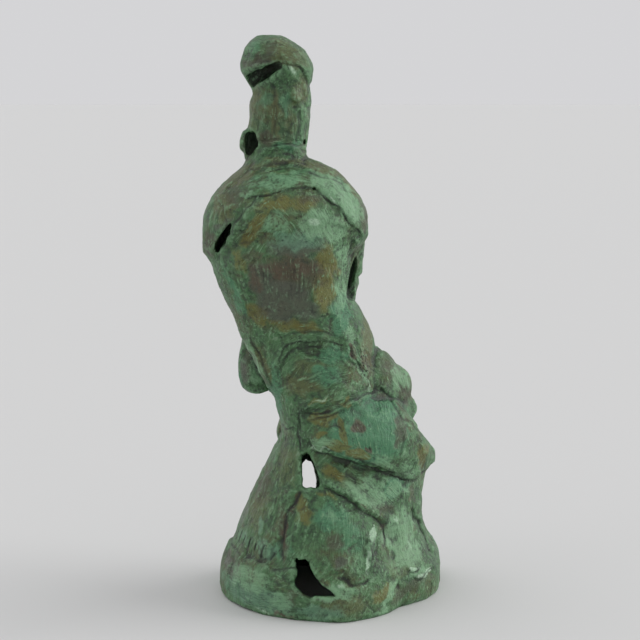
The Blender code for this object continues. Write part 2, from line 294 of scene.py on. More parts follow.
def beside(line: np.ndarray, spots: np.ndarray) -> tuple[np.ndarray, np.ndarray]:
    """Measures how spots lie by a line.

    Args:
        line: The line's points, as rows of two.
        spots: The spots, as rows of two.

    Returns:
        How far each spot lies left of the line, and how far along it is from the nearer end.
    """
    lengths = np.linalg.norm(np.diff(line, axis=0), axis=1)
    run = np.concatenate([[0], np.cumsum(lengths)])
    nearest = np.full(len(spots), np.inf)
    signed = np.zeros(len(spots))
    inside = np.zeros(len(spots))
    for start, end, length, before in zip(line, line[1:], lengths, run):
        along = (end - start) / length
        off = spots - start
        t = np.clip(off @ along, 0, length)
        distance = np.linalg.norm(off - t[:, None] * along, axis=1)
        left = along[0] * off[:, 1] - along[1] * off[:, 0]
        closer = distance < nearest
        nearest[closer] = distance[closer]
        signed[closer] = (np.sign(left) * distance)[closer]
        inside[closer] = np.minimum(t + before, run[-1] - t - before)[closer]
    return signed, inside


def within(spots: np.ndarray, centre: tuple, reach: tuple, turn: float) -> np.ndarray:
    """How far out spots lie in a turned ellipse, from 0 at its centre to 1 at its edge."""
    angle = math.radians(turn)
    off = spots - np.array(centre)
    across = off[:, 0] * math.cos(angle) + off[:, 1] * math.sin(angle)
    up = off[:, 1] * math.cos(angle) - off[:, 0] * math.sin(angle)
    return np.hypot(across / reach[0], up / reach[1])


def stirred(points: np.ndarray, far: float, size: float, seed: int) -> np.ndarray:
    """Reads where points lie in the drawing, a little stirred so that no line is even.

    Args:
        points: The points, as rows of three.
        far: How far they are moved.
        size: Over what length the moves change.
        seed: Which noise moves them.

    Returns:
        The spots, as rows of two.
    """
    moves = np.stack([waves(points, size, seed), waves(points, size, seed + 1)], axis=1)
    return points[:, ::2] + far * moves


def settled(obj: Object) -> Object:
    """Works an object's modifiers into its mesh.

    Args:
        obj: The object.

    Returns:
        The same object.
    """
    graph = bpy.context.evaluated_depsgraph_get()
    mesh = bpy.data.meshes.new_from_object(obj.evaluated_get(graph))
    obj.modifiers.clear()
    obj.data = mesh
    return obj


def placed(name: str, data: bpy.types.ID) -> Object:
    """A new object in the scene, which holds the data."""
    obj = bpy.data.objects.new(name, data)
    bpy.context.scene.collection.objects.link(obj)
    return obj


def object_of(name: str, bm: bmesh.types.BMesh) -> Object:
    """Makes an object of a bmesh, which is freed.

    Args:
        name: The object's name.
        bm: Its mesh.

    Returns:
        The object, linked into the scene.
    """
    mesh = bpy.data.meshes.new(name)
    bm.to_mesh(mesh)
    bm.free()
    return placed(name, mesh)


@dataclass
class Graph:
    """Adds, fills and links the nodes of one tree, whose own nodes are kept."""

    tree: NodeTree

    def add(self, kind: str, inputs: dict | None = None, **settings: str) -> Node:
        """Adds a node.

        Args:
            kind: The node's type.
            inputs: A value or an output socket for each input, by name or number.
            settings: The node's own properties.

        Returns:
            The node.
        """
        node = self.tree.nodes.new(kind)
        for name, value in settings.items():
            setattr(node, name, value)
        for key, value in (inputs or {}).items():
            if isinstance(value, Socket):
                self.tree.links.new(value, node.inputs[key])
            else:
                node.inputs[key].default_value = value
        return node

    def math(self, operation: str, *values: Number) -> Socket:
        """The result of a sum on up to three values."""
        node = self.add("ShaderNodeMath", dict(enumerate(values)), operation=operation)
        return node.outputs[0]

    def times(self, value: Number, share: Number) -> Socket:
        """One number times another."""
        return self.math("MULTIPLY", value, share)

    def vector(self, operation: str, *values: Socket | tuple) -> Socket:
        """The result of a sum on vectors."""
        node = self.add("ShaderNodeVectorMath", dict(enumerate(values)), operation=operation)
        return node.outputs[0]

    def scaled(self, vector: Socket, factor: Number) -> Socket:
        """A vector times a number."""
        node = self.add("ShaderNodeVectorMath", {0: vector, "Scale": factor}, operation="SCALE")
        return node.outputs[0]

    def noise(self, at: Socket, scale: Number, detail: float = 3.0,
              roughness: float = 0.55, distortion: float = 0.0) -> Socket:
        """Noise between 0 and 1.

        Args:
            at: Where it is read.
            scale: How many waves there are to a metre.
            detail: How many finer layers are added.
            roughness: How strong they are.
            distortion: How far it is stirred.

        Returns:
            The noise's value.
        """
        node = self.add("ShaderNodeTexNoise", {
            "Vector": at, "Scale": scale, "Detail": detail, "Roughness": roughness,
            "Distortion": distortion,
        })
        return node.outputs[0]

    def cells(self, at: Socket, scale: float) -> Socket:
        """How far each place is from the nearest of many scattered spots, in cells."""
        node = self.add("ShaderNodeTexVoronoi", {"Vector": at, "Scale": scale})
        return node.outputs["Distance"]

    def ramp(self, value: Socket, low: float, high: float,
             start: float = 0.0, end: float = 1.0) -> Socket:
        """Maps a value smoothly from low..high to start..end, and holds it there."""
        node = self.add("ShaderNodeMapRange", {
            "Value": value, "From Min": low, "From Max": high, "To Min": start, "To Max": end,
        }, interpolation_type="SMOOTHSTEP")
        return node.outputs[0]

    def mix(self, share: Number, under: Shade, over: Shade) -> Socket:
        """One colour laid over another by a share."""
        node = self.add("ShaderNodeMix", {0: share, 6: under, 7: over}, data_type="RGBA")
        return node.outputs[2]

    def laid(self, under: Shade, over: Shade, where: Number, strength: float) -> Socket:
        """One colour laid over another where a mask is, at a strength."""
        return self.mix(self.times(where, strength), under, over)

    def attribute(self, name: str) -> Socket:
        """A number painted on the mesh."""
        return self.add("ShaderNodeAttribute", attribute_name=name).outputs["Fac"]


def geometry_tree(name: str, inputs: dict[str, str]) -> tuple[Graph, dict[str, str]]:
    """Starts a tree that takes in a piece's geometry and gives it back changed.

    Args:
        name: The tree's name.
        inputs: The kinds of its other inputs, by name.

    Returns:
        The tree, ready for its nodes, and the identifier of each input.
    """
    tree = bpy.data.node_groups.new(name, "GeometryNodeTree")
    names = {}
    for label, kind in (("Geometry", "Geometry"), *inputs.items()):
        socket = tree.interface.new_socket(label, in_out="INPUT", socket_type="NodeSocket" + kind)
        names[label] = socket.identifier
    tree.interface.new_socket("Geometry", in_out="OUTPUT", socket_type="NodeSocketGeometry")
    return Graph(tree), names


def colour(red: float, green: float, blue: float) -> tuple[float, float, float, float]:
    """A colour from 0 to 255 a channel, as the shader's linear values."""
    def linear(value: float) -> float:
        """One channel in linear light."""
        value /= 255
        return value / 12.92 if value <= 0.04045 else ((value + 0.055) / 1.055) ** 2.4
    return (linear(red), linear(green), linear(blue), 1.0)


@dataclass
class Region:
    """A part of the casting: what is cut out, put on, modelled and coloured there."""

    holes: tuple[Hole, ...] = ()
    pockets: tuple[Egg, ...] = ()
    lumps: tuple[Egg, ...] = ()
    seams: tuple[Seam, ...] = ()
    combs: tuple[Comb, ...] = ()
    swells: tuple[Swell, ...] = ()
    patches: tuple[Patch, ...] = ()


@dataclass
class CapAndHead(Region):
    """The tall cap, the head and neck, and the flap at the collar."""

    holes: tuple[Hole, ...] = (
        Hole("cap hollow", ((-49.9, 373.8), (-45.6, 376), (-40.4, 377.9), (-36.9, 379), (-31.7, 379.9),
             (-29.4, 378.6), (-33.3, 376.6), (-37.6, 374.1), (-39.5, 371.5), (-42.4, 368.5),
             (-44.5, 366.3), (-45.7, 363.3), (-48.4, 364.6), (-50.8, 368.9), (-51.4, 372.3)), -60, -3),
        Hole("collar hollow", ((-52, 333), (-49, 333), (-46.2, 331.6), (-43, 327.4), (-42.7, 322.9),
             (-47.3, 320.1), (-50, 317.3), (-51.6, 316.6), (-52.2, 319.1), (-53, 324.2),
             (-52.3, 330.2)), -60, -2),
    )
    pockets: tuple[Egg, ...] = (
        Egg("hole beside the neck", (-11.4, -6, 326.1), (1.4, 8, 3.2)),
    )
    lumps: tuple[Egg, ...] = (
        Egg("upper lip", (-29, 24.8, 346.4), (4.6, 4.6, 5.4)),
    )
    seams: tuple[Seam, ...] = (
        Seam("cap edge", ((-28, 380.6), (-20.9, 379.7), (-15.7, 377.5), (-11.3, 373.8), (-9.1, 369.3),
             (-7.2, 364.8)), 1.6, 6, 1.0, 0.8),
        Seam("cap edge over the hollow", ((-54, 373), (-49.9, 375.2), (-45.6, 377.4), (-40.4, 379.3),
             (-36.9, 380.4), (-30, 381.4)), 0.8, 4),
        Seam("torn edge of the head", ((-30, 379.8), (-26, 378.6), (-19.4, 372.3), (-12.1, 366.3),
             (-9.9, 358.8)), sink=-0.9, width=1.3),
        Seam("fold across the cap", ((-54, 386), (-46, 385), (-38, 387.4), (-30, 385.8), (-24, 383)),
             sink=0.6, width=1.7),
        Seam("fold at the left of the cap", ((-52.5, 380), (-49.5, 386), (-45.5, 391)),
             sink=0.6, width=1.4),
        Seam("ridge over the cap", ((-30, 398), (-29, 391), (-31, 385)), sink=-0.5, width=2.0),
        Seam("upper fold of the cap", ((-50, 394), (-42, 391), (-33, 392.5), (-22, 391)),
             sink=0.4, width=2.0),
        Seam("collar at the neck", ((-9, 319), (-19, 323.6), (-31, 324.4), (-44, 321)),
             0.7, 6, 0.6, 1.0),
        Seam("crease below it", ((-28, 318), (-17.4, 316.9), (-9, 313.5)), sink=0.6),
        Seam("dent round the neck", ((-42, 334), (-34, 333), (-24, 335), (-15, 333.5)),
             sink=0.5, width=2.2),
        Seam("valley down the head", ((-31.5, 366), (-31.5, 355.2), (-30.8, 347.8), (-30.8, 340.3),
             (-31.5, 331)), sink=0.9, width=2.4),
        Seam("ridge down the head", ((-25, 368), (-27, 351.5), (-26.3, 344.1), (-25.6, 332.8)),
             sink=-0.8, width=2.2),
        Seam("right valley", ((-19.6, 352), (-20.2, 342), (-19.6, 332)), sink=0.6, width=1.8),
        Seam("edge down the right", ((-13.4, 350), (-14.4, 340.2), (-14.7, 334.9), (-15.1, 326)),
             0.6, 4, 0.8, 0.8),
        Seam("left valley", ((-43, 362), (-44.5, 347), (-43, 332)), sink=0.5, width=2.2),
        Seam("left ridge", ((-38.5, 362), (-38, 349), (-38.5, 336)), sink=-0.5, width=2.2),
        Seam("mouth", ((-34.5, 343), (-31.5, 343.8), (-29, 343.4), (-26.5, 343.8), (-23.5, 343)),
             sink=0.7, width=0.8, side=Side.FRONT),
        Seam("left lid", ((-40, 356), (-36, 357.4), (-32, 355.8)), 0.3, 3, 0.5, 0.8, Side.FRONT),
        Seam("left lower lid", ((-39.5, 355), (-36, 353.8), (-32.5, 355)), sink=0.4, width=0.8,
             side=Side.FRONT),
        Seam("right lid", ((-26, 355.8), (-22, 357.4), (-18, 356)), 0.3, 3, 0.5, 0.8, Side.FRONT),
        Seam("right lower lid", ((-25.5, 355), (-22, 353.8), (-18.5, 355)), sink=0.4, width=0.8,
             side=Side.FRONT),
        Seam("edge of the cap in front", ((-8, 366), (-18, 368), (-29, 368.6), (-40, 368), (-50, 366)),
             -0.8, 6, 0.9, 1.0, Side.FRONT),
    )
    combs: tuple[Comb, ...] = (
        Comb("down the head", ((-46, 362), (-46.5, 345), (-45, 328)),
             ((-12, 360), (-12, 344), (-12, 328)),
             16, 0.3),
        Comb("round the cap", ((-53, 377), (-44, 381), (-32, 384), (-20, 383), (-8, 374)),
             ((-48, 396), (-40, 395.5), (-30, 395), (-20, 391), (-12, 384)), 9, 0.28),
        Comb("round the neck", ((-46, 329), (-34, 328), (-22, 329), (-12, 327)),
             ((-44, 319), (-32, 321), (-20, 321), (-10, 317)), 6, 0.25),
    )
    swells: tuple[Swell, ...] = (
        Swell("dent in the cap", (-40, 383.2), (12, 5), -1.8, -6),
        Swell("left roll of the cap", (-47, 392), (9, 7), 0.7),
        Swell("right roll of the cap", (-18, 388), (11, 7), 0.8),
        Swell("crown of the cap", (-33, 396), (9, 6), 0.5),
        Swell("shoulder of the cap", (-15, 386), (7, 8), 0.9),
        Swell("lump of the head 1", (-38, 352), (4, 4), 0.6),
        Swell("lump of the head 2", (-28, 345), (3, 5), 0.5),
        Swell("lump of the head 3", (-22, 336), (4, 3), 0.5),
        Swell("lump of the head 4", (-40, 340), (3, 4), 0.5),
        Swell("lump of the head 5", (-24, 362), (5, 3), 0.6),
        Swell("knob", (-16, 356.4), (4.2, 3.0), 2.0),
        Swell("dent under the knob", (-17, 351.6), (4.2, 2.0), -1.0),
        Swell("small knob", (-13.6, 349.9), (2.2, 2.6), 0.9),
        Swell("side bump", (-7.2, 354.3), (4, 5), 1.2),
        Swell("left notch", (-47.5, 359), (3, 3), -1.2),
        Swell("left bump", (-46, 351), (5, 6), 0.6),
        Swell("lobe of the head", (-27, 371), (9, 7), 0.8),
        Swell("dent by the neck", (-37, 329), (6, 4), -0.9),
    )
    patches: tuple[Patch, ...] = (
        Patch(Tint.OLIVE, (-24, 387), (16, 9), 0.9, -20),
        Patch(Tint.OLIVE, (-31, 348), (4, 18), 0.9),
        Patch(Tint.BARE, (-31, 346), (15, 20), 0.35),
        Patch(Tint.OLIVE, (-14, 362), (6, 10), 0.8),
        Patch(Tint.OLIVE, (-46, 350), (5, 16), 0.7),
        Patch(Tint.OLIVE, (-20, 340), (6, 9), 0.6),
        Patch(Tint.UMBER, (-37, 329), (7, 5), 1.1),
        Patch(Tint.UMBER, (-42, 382), (12, 5), 1.0, 10),
        Patch(Tint.UMBER, (-22, 330), (5, 5), 0.5),
        Patch(Tint.SLATE, (-34, 391), (5, 7), 0.6),
        Patch(Tint.SLATE, (-40, 381), (9, 3), 0.8, 12),
        # painted highlight on the torn edge of the head
        Patch(Tint.PALE, (-20.2, 376.8), (4.6, 2.0), 0.7, -25),
        Patch(Tint.TEAL, (-24, 352), (3, 8), 0.7),
        Patch(Tint.TEAL, (-38, 356), (4, 8), 0.6),
        Patch(Tint.TEAL, (-22, 324), (10, 4), 0.7),
        Patch(Tint.TEAL, (-46, 391), (4, 6), 0.5),
    )


@dataclass
class Cape(Region):
    """The short cape over the shoulders."""

    pockets: tuple[Egg, ...] = (
        Egg("hole in the seam", (-3.9, -38, 295.3), (2.6, 7, 1.6)),
    )
    seams: tuple[Seam, ...] = (
        Seam("cape edge", ((-52, 288), (-46.3, 289.8), (-36.8, 291.8), (-25.8, 294.1), (-16.4, 295.6),
             (-10.1, 295.9), (-3.9, 295.4), (0.9, 292.3), (7.2, 287.6), (12.7, 282.5), (19.1, 274.3),
             (24.8, 266.5), (30.1, 261.5)), 0.8, 5, 1.0, 0.6),
        Seam("hole in the seam", ((-6.2, 295.6), (-3.9, 295.4), (-1.8, 294.8)), sink=2.2, width=1.2),
        Seam("slot over the seam", ((3.4, 297), (5.4, 299.8)), sink=0.8, width=0.8),
        Seam("roll at the nape", ((-44, 311), (-37.6, 312.7), (-27.1, 314.9), (-15.9, 314.8),
             (-8, 313.4), (2, 310)), sink=-0.9, width=1.4),
        Seam("groove under the roll", ((-38, 310), (-27, 312.4), (-16, 312.4), (-8, 310.8)),
             sink=0.5, width=0.9),
        Seam("second roll", ((-24, 311.6), (-14.3, 310.6), (-7.5, 307.7), (3, 306), (14.3, 301.2),
             (22, 295)), sink=-1.0, width=1.3),
        Seam("groove under the second roll", ((-9, 305.6), (3, 303.4), (13, 298.8), (20, 292.6)),
             sink=0.7, width=0.9),
        Seam("edge of the brown band", ((-66, 292), (-55, 303), (-44, 309), (-34, 312)),
             0.6, 6, 0.4, 0.9),
        Seam("drag mark", ((-51.7, 301), (-40, 306.4), (-26, 309)), sink=0.4, width=0.9),
        Seam("facet of the left shoulder", ((-72, 290), (-66, 281), (-63, 272)), 0.8, 8, 0.3, 1.2),
        Seam("facet of the right shoulder", ((14, 303), (24, 294), (30, 283), (33, 272)),
             0.6, 8, 0.3, 1.2),
    )
    combs: tuple[Comb, ...] = (
        Comb("across the cape", ((-48, 292), (-36, 295), (-22, 297.6), (-8, 298.5)),
             ((-50, 303), (-38, 308), (-24, 310), (-8, 306)), 12, 0.28),
        Comb("down the left shoulder", ((-80, 262), (-79, 274), (-74, 286)),
             ((-66, 266), (-66, 278), (-63, 288)), 8, 0.3),
        Comb("down the right shoulder", ((-2, 300), (10, 294), (20, 282), (27, 270)),
             ((6, 306), (20, 298), (29, 285), (33, 270)), 8, 0.25),
    )
    swells: tuple[Swell, ...] = (
        Swell("left shoulder", (-69, 278), (9, 12), 0.8),
        Swell("right shoulder", (26, 284), (9, 14), 0.7),
        Swell("nape", (-20, 304), (20, 7), 0.4),
        Swell("lump under the arm", (-76, 252), (5, 6), 1.0),
        Swell("smear", (-50.5, 291.2), (4.4, 1.8), 0.6, 8, 0.5),
        Swell("corner of the cape", (30, 262), (4, 5), 0.9),
    )
    patches: tuple[Patch, ...] = (
        Patch(Tint.OLIVE, (-56, 302), (17, 4.5), 1.2, 36),
        Patch(Tint.OLIVE, (-66, 283), (8, 12), 1.0),
        Patch(Tint.OLIVE, (2, 308), (20, 3.4), 1.1, -16),
        Patch(Tint.OLIVE, (22, 297), (12, 4), 1.1, -48),
        Patch(Tint.OLIVE, (-26, 313.6), (15, 2.4), 0.9, 4),
        Patch(Tint.UMBER, (31, 276), (4, 12), 1.0),
        Patch(Tint.UMBER, (-60, 290), (7, 7), 0.7, 30),
        Patch(Tint.UMBER, (-76, 256), (6, 9), 1.0),
        Patch(Tint.SLATE, (-66, 271), (8, 3.4), 0.9, 30),
        Patch(Tint.TEAL, (-28, 301), (22, 6), 0.6, 8),
        Patch(Tint.OLIVE, (-30, 306), (18, 3), 0.5, 6),
        Patch(Tint.MINT, (-26, 300), (20, 6), 0.55, 6),
        Patch(Tint.MINT, (8, 295), (16, 7), 1.1, -35),
        Patch(Tint.MINT, (21, 282), (7, 12), 1.0, 30),
        Patch(Tint.MINT, (-50.5, 291.2), (4.4, 1.8), 1.3, 8),
        # painted highlight on the cape edge
        Patch(Tint.PALE, (9, 287.4), (5, 1.0), 0.9, -42),
    )


@dataclass
class Back(Region):
    """The back from the cape down to the waist, with the arms beside it."""

    holes: tuple[Hole, ...] = (
        Hole("left arm slit", ((-60, 273), (-62.4, 271), (-66.6, 266), (-70, 260), (-72, 255.4),
             (-72.6, 250.4), (-70.9, 250), (-69, 254.4), (-66.5, 257.4), (-64.6, 261), (-62.6, 266),
             (-59.8, 271.6)), -90, -6),
        Hole("right arm slit", ((25.7, 249.1), (23.7, 244.1), (22.2, 238.3), (20.7, 226.9),
             (19.2, 221.7), (19.8, 215.8), (23.4, 214.6), (25.6, 218.2), (25.5, 224.4), (23.9, 228.5),
             (25.3, 236.3)), -90, 5),
    )
    seams: tuple[Seam, ...] = (
        Seam("panel edge", ((-38.4, 290.4), (-46.2, 286.1), (-52.5, 279.8), (-57.3, 272.7),
             (-62.2, 263.7), (-67.3, 256), (-72, 249)), 1.0, 6, 0.4, 0.7),
        Seam("edge of a thin layer", ((-2.7, 246), (-2.1, 233), (-3.4, 222.5), (-6.9, 213.4),
             (-13.8, 209.3), (-23, 206.4)), 0.35, 3, 0.25, 0.7),
        Seam("ridge by the right slit", ((24, 256), (20, 244), (18, 230), (17, 214)),
             sink=-0.7, width=1.4),
        Seam("crease left of the panel", ((-52, 262), (-46, 268), (-40, 276)), sink=0.3, width=1.0),
        Seam("stroke over the ochre", ((-56, 262), (-50, 267), (-45, 273), (-42, 280)),
             sink=-0.4, width=1.0),
    )
    combs: tuple[Comb, ...] = (
        Comb("drips", ((-46, 250), (-44, 236), (-40, 220)), ((-4, 248), (-4, 232), (-8, 216)),
             22, 0.5, 0.6),
        Comb("scratches", ((-56, 244), (-50, 250), (-44, 255)), ((-52, 239), (-46, 245), (-41, 250)),
             6, 0.45, 0.5),
        Comb("down the left side", ((-70, 248), (-62, 228), (-54, 208)),
             ((-58, 250), (-52, 228), (-45, 206)),
             9, 0.3),
        Comb("over the blade", ((-34, 284), (-20, 270), (-8, 256)), ((4, 288), (10, 272), (14, 256)),
             9, 0.22),
        Comb("over the ochre", ((-62, 256), (-52, 268), (-42, 280)),
             ((-50, 258), (-42, 270), (-32, 282)),
             7, 0.25),
        Comb("down the right side", ((2, 250), (6, 232), (8, 212)), ((17, 250), (15, 232), (16, 210)),
             8, 0.25),
    )
    swells: tuple[Swell, ...] = (
        Swell("left shoulder blade", (-38, 264), (16, 18), 0.6),
        Swell("right shoulder blade", (-3, 262), (16, 18), 0.6),
        Swell("spine", (-20, 238), (6, 30), -0.4),
        Swell("pit 1", (-43, 259.7), (1.5, 1.3), -1.5),
        Swell("pit 2", (-24.5, 261.9), (1.2, 1.2), -1.5),
        Swell("pit 3", (-8.9, 259.3), (1.4, 1.0), -1.2),
        Swell("pit 4", (-53.7, 267.7), (1.1, 1.0), -1.2),
        Swell("pit 5", (-61.3, 237.3), (1.2, 1.2), -1.2),
        Swell("pit 6", (-33, 302.6), (0.9, 0.9), -0.9),
    )
    patches: tuple[Patch, ...] = (
        Patch(Tint.OCHRE, (-29, 285.5), (14, 6), 0.9, 6),
        Patch(Tint.OCHRE, (-46, 268), (17, 4.5), 1.0, 52),
        Patch(Tint.OCHRE, (3.5, 234), (8, 24), 1.2),
        Patch(Tint.OCHRE, (-19, 201), (18, 3.8), 0.9, -4),
        Patch(Tint.OCHRE, (-42, 207.6), (9, 8), 0.9, -20),
        Patch(Tint.OCHRE, (-55, 246), (4, 9), 0.7, 30),
        Patch(Tint.OCHRE, (-10, 286), (11, 6), 0.8),
        Patch(Tint.UMBER, (-6, 289), (9, 4), 0.8),
        Patch(Tint.UMBER, (-16, 236), (18, 14), 1.1),
        Patch(Tint.BARE, (-20, 242), (22, 9), 0.7),
        Patch(Tint.BARE, (-44, 236), (6, 13), 0.6),
        Patch(Tint.BARE, (25, 246), (4, 12), 0.5),
        Patch(Tint.BARE, (-46, 250), (8, 4), 0.5, 20),
        Patch(Tint.SLATE, (-40, 232), (9, 15), 0.9, 12),
        Patch(Tint.SLATE, (-26, 218), (17, 15), 1.3),
        Patch(Tint.SLATE, (-11, 212), (11, 8), 0.9),
        Patch(Tint.SLATE, (-17, 255), (18, 7), 0.9),
        Patch(Tint.ICE, (-16, 261), (20, 7), 0.8),
        Patch(Tint.TEAL, (-30, 272), (9, 8), 0.4),
        Patch(Tint.MINT, (-30, 273), (9, 7), 0.6),
        Patch(Tint.TEAL, (-58, 222), (4, 22), 0.7, 24),
        Patch(Tint.TEAL, (14, 208), (8, 14), 0.9),
        Patch(Tint.MINT, (-3, 271.3), (11, 9), 1.3),
        Patch(Tint.MINT, (8, 268), (10, 9), 1.2),
        Patch(Tint.MINT, (15, 246), (5, 14), 0.6),
        Patch(Tint.MINT, (15, 220), (4, 14), 0.6),
        # painted highlight on the shoulder blade
        Patch(Tint.PALE, (-4, 273), (4, 3), 0.7),
    )


@dataclass
class Hips(Region):
    """The waist, the hips with their brushed folds, the elbow at the left and the drape."""

    seams: tuple[Seam, ...] = (
        Seam("waist fold", ((-29, 172), (-27.9, 178.8), (-25.4, 184.4), (-18.6, 188.5), (-5.2, 190.2),
             (8.3, 188.2), (17.2, 185.8)), 0.9, 3.4, 0.5, 0.6),
        Seam("upper waist fold", ((-26, 193), (-16.9, 196.6), (-8.5, 197.5), (-0.1, 196.9), (12.5, 194),
             (19, 190.6)), 0.6, 3, 0.5, 0.6),
        Seam("lower waist fold", ((-29, 164), (-28, 170), (-25.4, 177.1), (-16.9, 184.5), (-5.2, 186.3),
             (6.6, 184.5), (13, 182)), 0.5, 3, 0.3, 0.6),
        Seam("left edge of the strap", ((-55, 184), (-53.5, 179.8), (-44.6, 163.2), (-38, 153),
             (-35, 147)), 0.6, 3, 0.7, 0.8),
        Seam("right edge of the strap", ((-33.3, 154.8), (-39.2, 168.7), (-44.3, 181.3), (-50, 194)),
             0.8, 3, 0.6, 0.8),
        Seam("hip ridge", ((-16, 139.4), (-11.9, 141.5), (-0.1, 149), (8.3, 154.7), (18, 158)),
             sink=-0.9, width=0.8),
        Seam("second hip ridge", ((-14, 146), (-4, 151.6), (6, 157.6), (14, 161)), sink=-0.5,
             width=0.7),
        Seam("thigh top", ((46, 151), (44.5, 150.7), (36.6, 150.6), (25.2, 149.4), (15, 145.4),
             (1.6, 140.5), (-11.9, 137.9)), 0.9, 4, 0.6, 0.7),
        Seam("roll over the thigh top", ((44, 153), (36, 153), (25, 152), (14, 148), (1, 143),
             (-11, 140)), sink=-0.7, width=0.8),
        Seam("line under the thigh top", ((24, 146.6), (14, 142), (2, 137.5), (-8, 135)),
             sink=0.35, width=0.6),
        Seam("pitted ridge", ((15, 182), (19.3, 174.3), (25.2, 167.2), (33, 160.4), (37.5, 152.1)),
             sink=-1.1, width=0.9),
        Seam("second pitted ridge", ((24, 194), (28.7, 181.8), (32.1, 168.8), (36.5, 159.6), (38, 153)),
             sink=-0.7, width=0.9),
        Seam("groove between the ridges", ((20, 190), (24, 178), (29, 167), (35, 157)),
             sink=0.7, width=1.0),
        Seam("edge of the drape", ((42, 155), (46.2, 149.6), (52.2, 141.4), (57.9, 134), (63.2, 128.2),
             (68, 122)), 1.3, 6, 1.0, 0.8),
        Seam("rim of the drape", ((52, 172), (60, 164), (65, 152), (68, 138)), sink=-0.6, width=1.2),
        Seam("belt", ((-36, 126), (-26, 125.6), (-19.7, 127.9), (-14.5, 127.3)), 0.7, 4, 0.6, 0.7),
        Seam("groove over the window",
             ((-13.4, 146), (-14, 140), (-14, 130), (-14.4, 121), (-13.6, 113)),
             0.4, 3, 0.9, 0.7),
    )
    combs: tuple[Comb, ...] = (
        Comb("over the waist", ((-27, 186), (-16, 191.4), (-4, 192.6), (10, 191)),
             ((-26, 200), (-14, 202.4), (0, 202), (14, 198)), 8, 0.25),
        Comb("below the waist fold", ((-28, 168), (-20, 181), (-5, 184), (12, 180)),
             ((-26, 160), (-16, 172), (0, 176), (16, 172)), 8, 0.3),
        Comb("across the hip", ((-26, 160), (-12, 165), (4, 170), (18, 172)),
             ((-26, 142), (-12, 147), (4, 156), (20, 162)), 16, 0.35, 0.7),
        Comb("along the hip ridge", ((-14, 141), (0, 147), (14, 152), (30, 156)),
             ((-12, 134), (2, 138), (16, 143), (30, 148)), 9, 0.3, 0.6),
        Comb("down the strap", ((-54, 188), (-46, 170), (-38, 154)),
             ((-48, 190), (-42, 174), (-36, 158)),
             6, 0.3, 0.6),
        Comb("down the left of the hip", ((-38, 150), (-34, 140), (-30, 128)),
             ((-18, 154), (-18, 142), (-18, 128)), 9, 0.28),
        Comb("down the drape", ((44, 166), (50, 152), (56, 140)), ((58, 166), (64, 150), (66, 134)),
             7, 0.3),
        Comb("down the ridges", ((18, 184), (26, 172), (34, 160)), ((30, 184), (34, 172), (38, 160)),
             7, 0.4, 0.6),
    )
    swells: tuple[Swell, ...] = (
        Swell("seat", (-3, 166), (24, 19), 1.1),
        Swell("dimple at the elbow", (-50, 150.5), (4, 3), -1.2),
        Swell("underside of the elbow", (-42, 146), (10, 5), 1.8),
        Swell("flank", (-44, 170), (4, 9), 0.4, 25),
        Swell("scar by the ridge", (21.8, 181), (2.0, 5), -0.9, 20, 0.6),
    )
    patches: tuple[Patch, ...] = (
        Patch(Tint.OLIVE, (-10, 160), (14, 8), 0.9, 10),
        Patch(Tint.OLIVE, (-6, 174), (14, 4), 0.6, 6),
        Patch(Tint.OLIVE, (-40, 172), (5, 14), 0.8, 25),
        Patch(Tint.OLIVE, (34, 190), (5, 14), 0.9),
        Patch(Tint.UMBER, (60, 146), (5, 8), 1.0),
        Patch(Tint.UMBER, (54, 161), (5, 6), 0.9),
        Patch(Tint.MINT, (58, 158), (8, 12), 0.7),
        Patch(Tint.UMBER, (50, 168), (8, 8), 0.7),
        Patch(Tint.UMBER, (-52, 166), (5, 12), 0.7),
        Patch(Tint.SLATE, (-56, 160), (5, 12), 0.8),
        Patch(Tint.MINT, (-46, 162), (5, 10), 0.9),
        Patch(Tint.OCHRE, (2.4, 137), (12, 3.6), 0.9, 8),
        Patch(Tint.OCHRE, (-8, 198), (12, 1.8), 0.8),
        Patch(Tint.OCHRE, (-2, 149), (8, 2), 0.7, 24),
        Patch(Tint.OCHRE, (18, 147.6), (5, 1.6), 0.8, 14),
        Patch(Tint.TEAL, (4, 166), (13, 7), 0.8, 10),
        Patch(Tint.TEAL, (10, 180), (12, 6), 0.8),
        Patch(Tint.TEAL, (-31, 150), (5, 22), 0.8),
        Patch(Tint.MINT, (30, 164), (2.4, 14), 0.9, 35),
        Patch(Tint.MINT, (22, 190), (4, 10), 0.7, 10),
        Patch(Tint.MINT, (-46, 176), (2, 12), 0.7, 25),
        # painted highlights on the pitted ridge and the hip ridge
        Patch(Tint.PALE, (35, 156), (1.6, 4), 0.8, 25),
        Patch(Tint.PALE, (0, 150.4), (8, 0.9), 0.6, 32),
        Patch(Tint.BARE, (21.8, 181), (2.2, 5.2), 1.3, 20),
        Patch(Tint.BARE, (33, 172), (4, 10), 0.6, 20),
        Patch(Tint.BARE, (44, 148), (4, 3), 0.7),
        Patch(Tint.PALE, (21.6, 182.5), (0.9, 3), 0.7, 20),
    )


